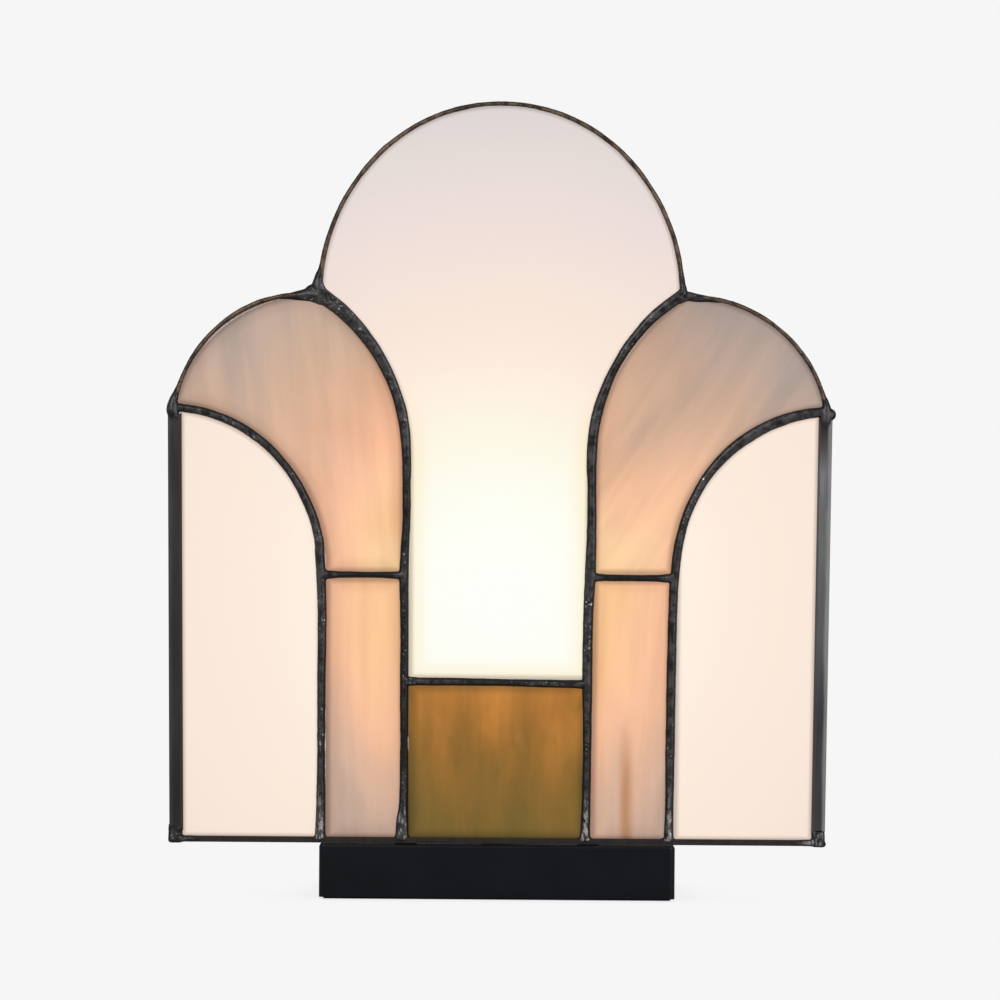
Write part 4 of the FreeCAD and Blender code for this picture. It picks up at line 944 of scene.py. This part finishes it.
finish(simple("wire_brown", (74, 42, 24), 0.0, 0.35, 0.5, 120.0, 0.00004), "wire_live")
finish(simple("wire_blue", (34, 64, 140), 0.0, 0.35, 0.5, 120.0, 0.00004), "wire_neutral")
finish(simple("stem_glass", (225, 228, 226), 0.0, 0.08, 0.15, 60.0, 0.00003), "bulb_stem")
finish(simple("phosphor", (240, 205, 110), 0.0, 0.5, 0.6, 90.0, 0.00003), "bulb_filaments")

# The bulb glows from its neck to its crown, at these heights in metres.  It lights the scene
# more strongly than it looks
GLOBE_NECK, GLOBE_CROWN = 0.085, 0.172
BULB_LIGHT, BULB_LOOK = 5.0, 0.92


def lit_bulb():
    """The frosted bulb, alight."""
    made, tree, shader = material("lit_bulb")
    here = tree.here()
    cloud = tree.noise(here, 40.0, 2.0, 0.5)
    height = tree.plus(tree.axes(here)[2], tree.times(cloud, 0.004))
    warm = tree.ramp(tree.between(height, GLOBE_NECK, GLOBE_CROWN, smooth=False), [
        (0.0, srgb(214, 168, 112)), (0.22, srgb(242, 208, 160)), (0.45, srgb(255, 238, 205)),
        (0.62, srgb(255, 246, 226)), (0.85, srgb(255, 240, 212)), (1.0, srgb(250, 228, 192))])
    path = tree.add("ShaderNodeLightPath")
    tree.feed(shader.inputs["Emission Color"], warm)
    tree.feed(shader.inputs["Emission Strength"],
              tree.between(path.outputs["Is Camera Ray"], 0.0, 1.0, BULB_LIGHT, BULB_LOOK,
                           smooth=False))
    shader.inputs["Base Color"].default_value = srgb(120, 116, 110)
    tree.feed(shader.inputs["Roughness"], tree.between(cloud, 0.3, 0.7, 0.25, 0.38))
    return made


finish(lit_bulb(), "bulb_glass")


# ---------------------------------------------------------------------------------------------
# Stage: floor, light and camera
# ---------------------------------------------------------------------------------------------
PAPER = srgb(246, 246, 246)
PAPER_SHADE = srgb(228, 228, 228)
FLOOR_GREY = (0.55, 0.55, 0.55, 1)
ROOM_GREY = (0.34, 0.35, 0.36, 1)

VIEW_DISTANCE = 2.0     # from the camera to the front of the glass, in metres
VIEW_WIDTH = 0.464      # width of the view at the glass, in metres
VIEW_CENTRE = (0.0002, MIDDLE - FACE, 0.1851)
VIEW_ROLL = -0.42       # in degrees


def seen_apart(tree, lit, seen):
    """One shader for what the camera sees and another for the light that it throws back."""
    path = tree.add("ShaderNodeLightPath")
    both = tree.add("ShaderNodeMixShader")
    tree.feed(both.inputs["Fac"], path.outputs["Is Camera Ray"])
    tree.feed(both.inputs[1], lit.outputs[0])
    tree.feed(both.inputs[2], seen.outputs[0])
    return both.outputs[0]


def stage_floor():
    """A paper floor just under the felt, with a painted contact shadow where the lamp stands on it.
    """
    deselect()
    bpy.ops.mesh.primitive_plane_add(size=12, location=(0, 0, -0.0002))
    floor = bpy.context.object
    floor.name = "floor"
    made = bpy.data.materials.new("paper")
    made.use_nodes = True
    made.node_tree.nodes.clear()
    tree = Tree(made.node_tree)
    seen = tree.add("ShaderNodeEmission")
    contact = tree.add("ShaderNodeAmbientOcclusion", samples=8)
    contact.inputs["Distance"].default_value = 0.05
    # Painted contact shadow near the lamp
    tree.feed(seen.inputs["Color"],
              tree.mix(tree.between(contact.outputs["AO"], 0.0, 0.9), PAPER_SHADE, PAPER))
    lit = tree.add("ShaderNodeBsdfDiffuse")
    lit.inputs["Color"].default_value = FLOOR_GREY
    both = seen_apart(tree, lit, seen)
    tree.feed(tree.add("ShaderNodeOutputMaterial").inputs["Surface"], both)
    floor.data.materials.append(made)


def stage_world():
    """The same paper behind the lamp, in a grey room."""
    world = bpy.data.worlds.new("studio")
    bpy.context.scene.world = world
    world.use_nodes = True
    world.node_tree.nodes.clear()
    tree = Tree(world.node_tree)
    seen = tree.add("ShaderNodeBackground")
    seen.inputs["Color"].default_value = PAPER
    room = tree.add("ShaderNodeBackground")
    room.inputs["Color"].default_value = ROOM_GREY
    both = seen_apart(tree, room, seen)
    tree.feed(tree.add("ShaderNodeOutputWorld").inputs["Surface"], both)


def softbox(name, place, target, size, power):
    """A white panel of light at a place, turned to a target."""
    light = bpy.data.lights.new(name, "AREA")
    light.shape = "RECTANGLE"
    light.size, light.size_y = size
    light.energy = power
    thing = bpy.data.objects.new(name, light)
    thing.location = place
    thing.rotation_euler = (Vector(target) - Vector(place)).to_track_quat("-Z", "Y").to_euler()
    bpy.context.scene.collection.objects.link(thing)


def stage_camera():
    """A long lens, square to the glass and rolled a little."""
    data = bpy.data.cameras.new("camera")
    data.sensor_width = 36
    data.lens = data.sensor_width * VIEW_DISTANCE / VIEW_WIDTH
    data.clip_start, data.clip_end = 0.1, 20
    camera = bpy.data.objects.new("camera", data)
    camera.location = Vector(VIEW_CENTRE) - Vector((0, VIEW_DISTANCE, 0))
    roll = Matrix.Rotation(math.radians(VIEW_ROLL), 3, "Y")
    camera.rotation_euler = (roll @ Matrix.Rotation(math.radians(90), 3, "X")).to_euler()
    bpy.context.scene.collection.objects.link(camera)
    bpy.context.scene.camera = camera


stage_floor()
stage_world()
softbox("key", (-0.9, -1.5, 1.3), (0, 0, 0.2), (0.7, 0.7), 14)
softbox("side", (1.4, -0.9, 0.7), (0, 0, 0.2), (0.5, 1.0), 9)
stage_camera()
bpy.context.scene.view_settings.view_transform = "Standard"
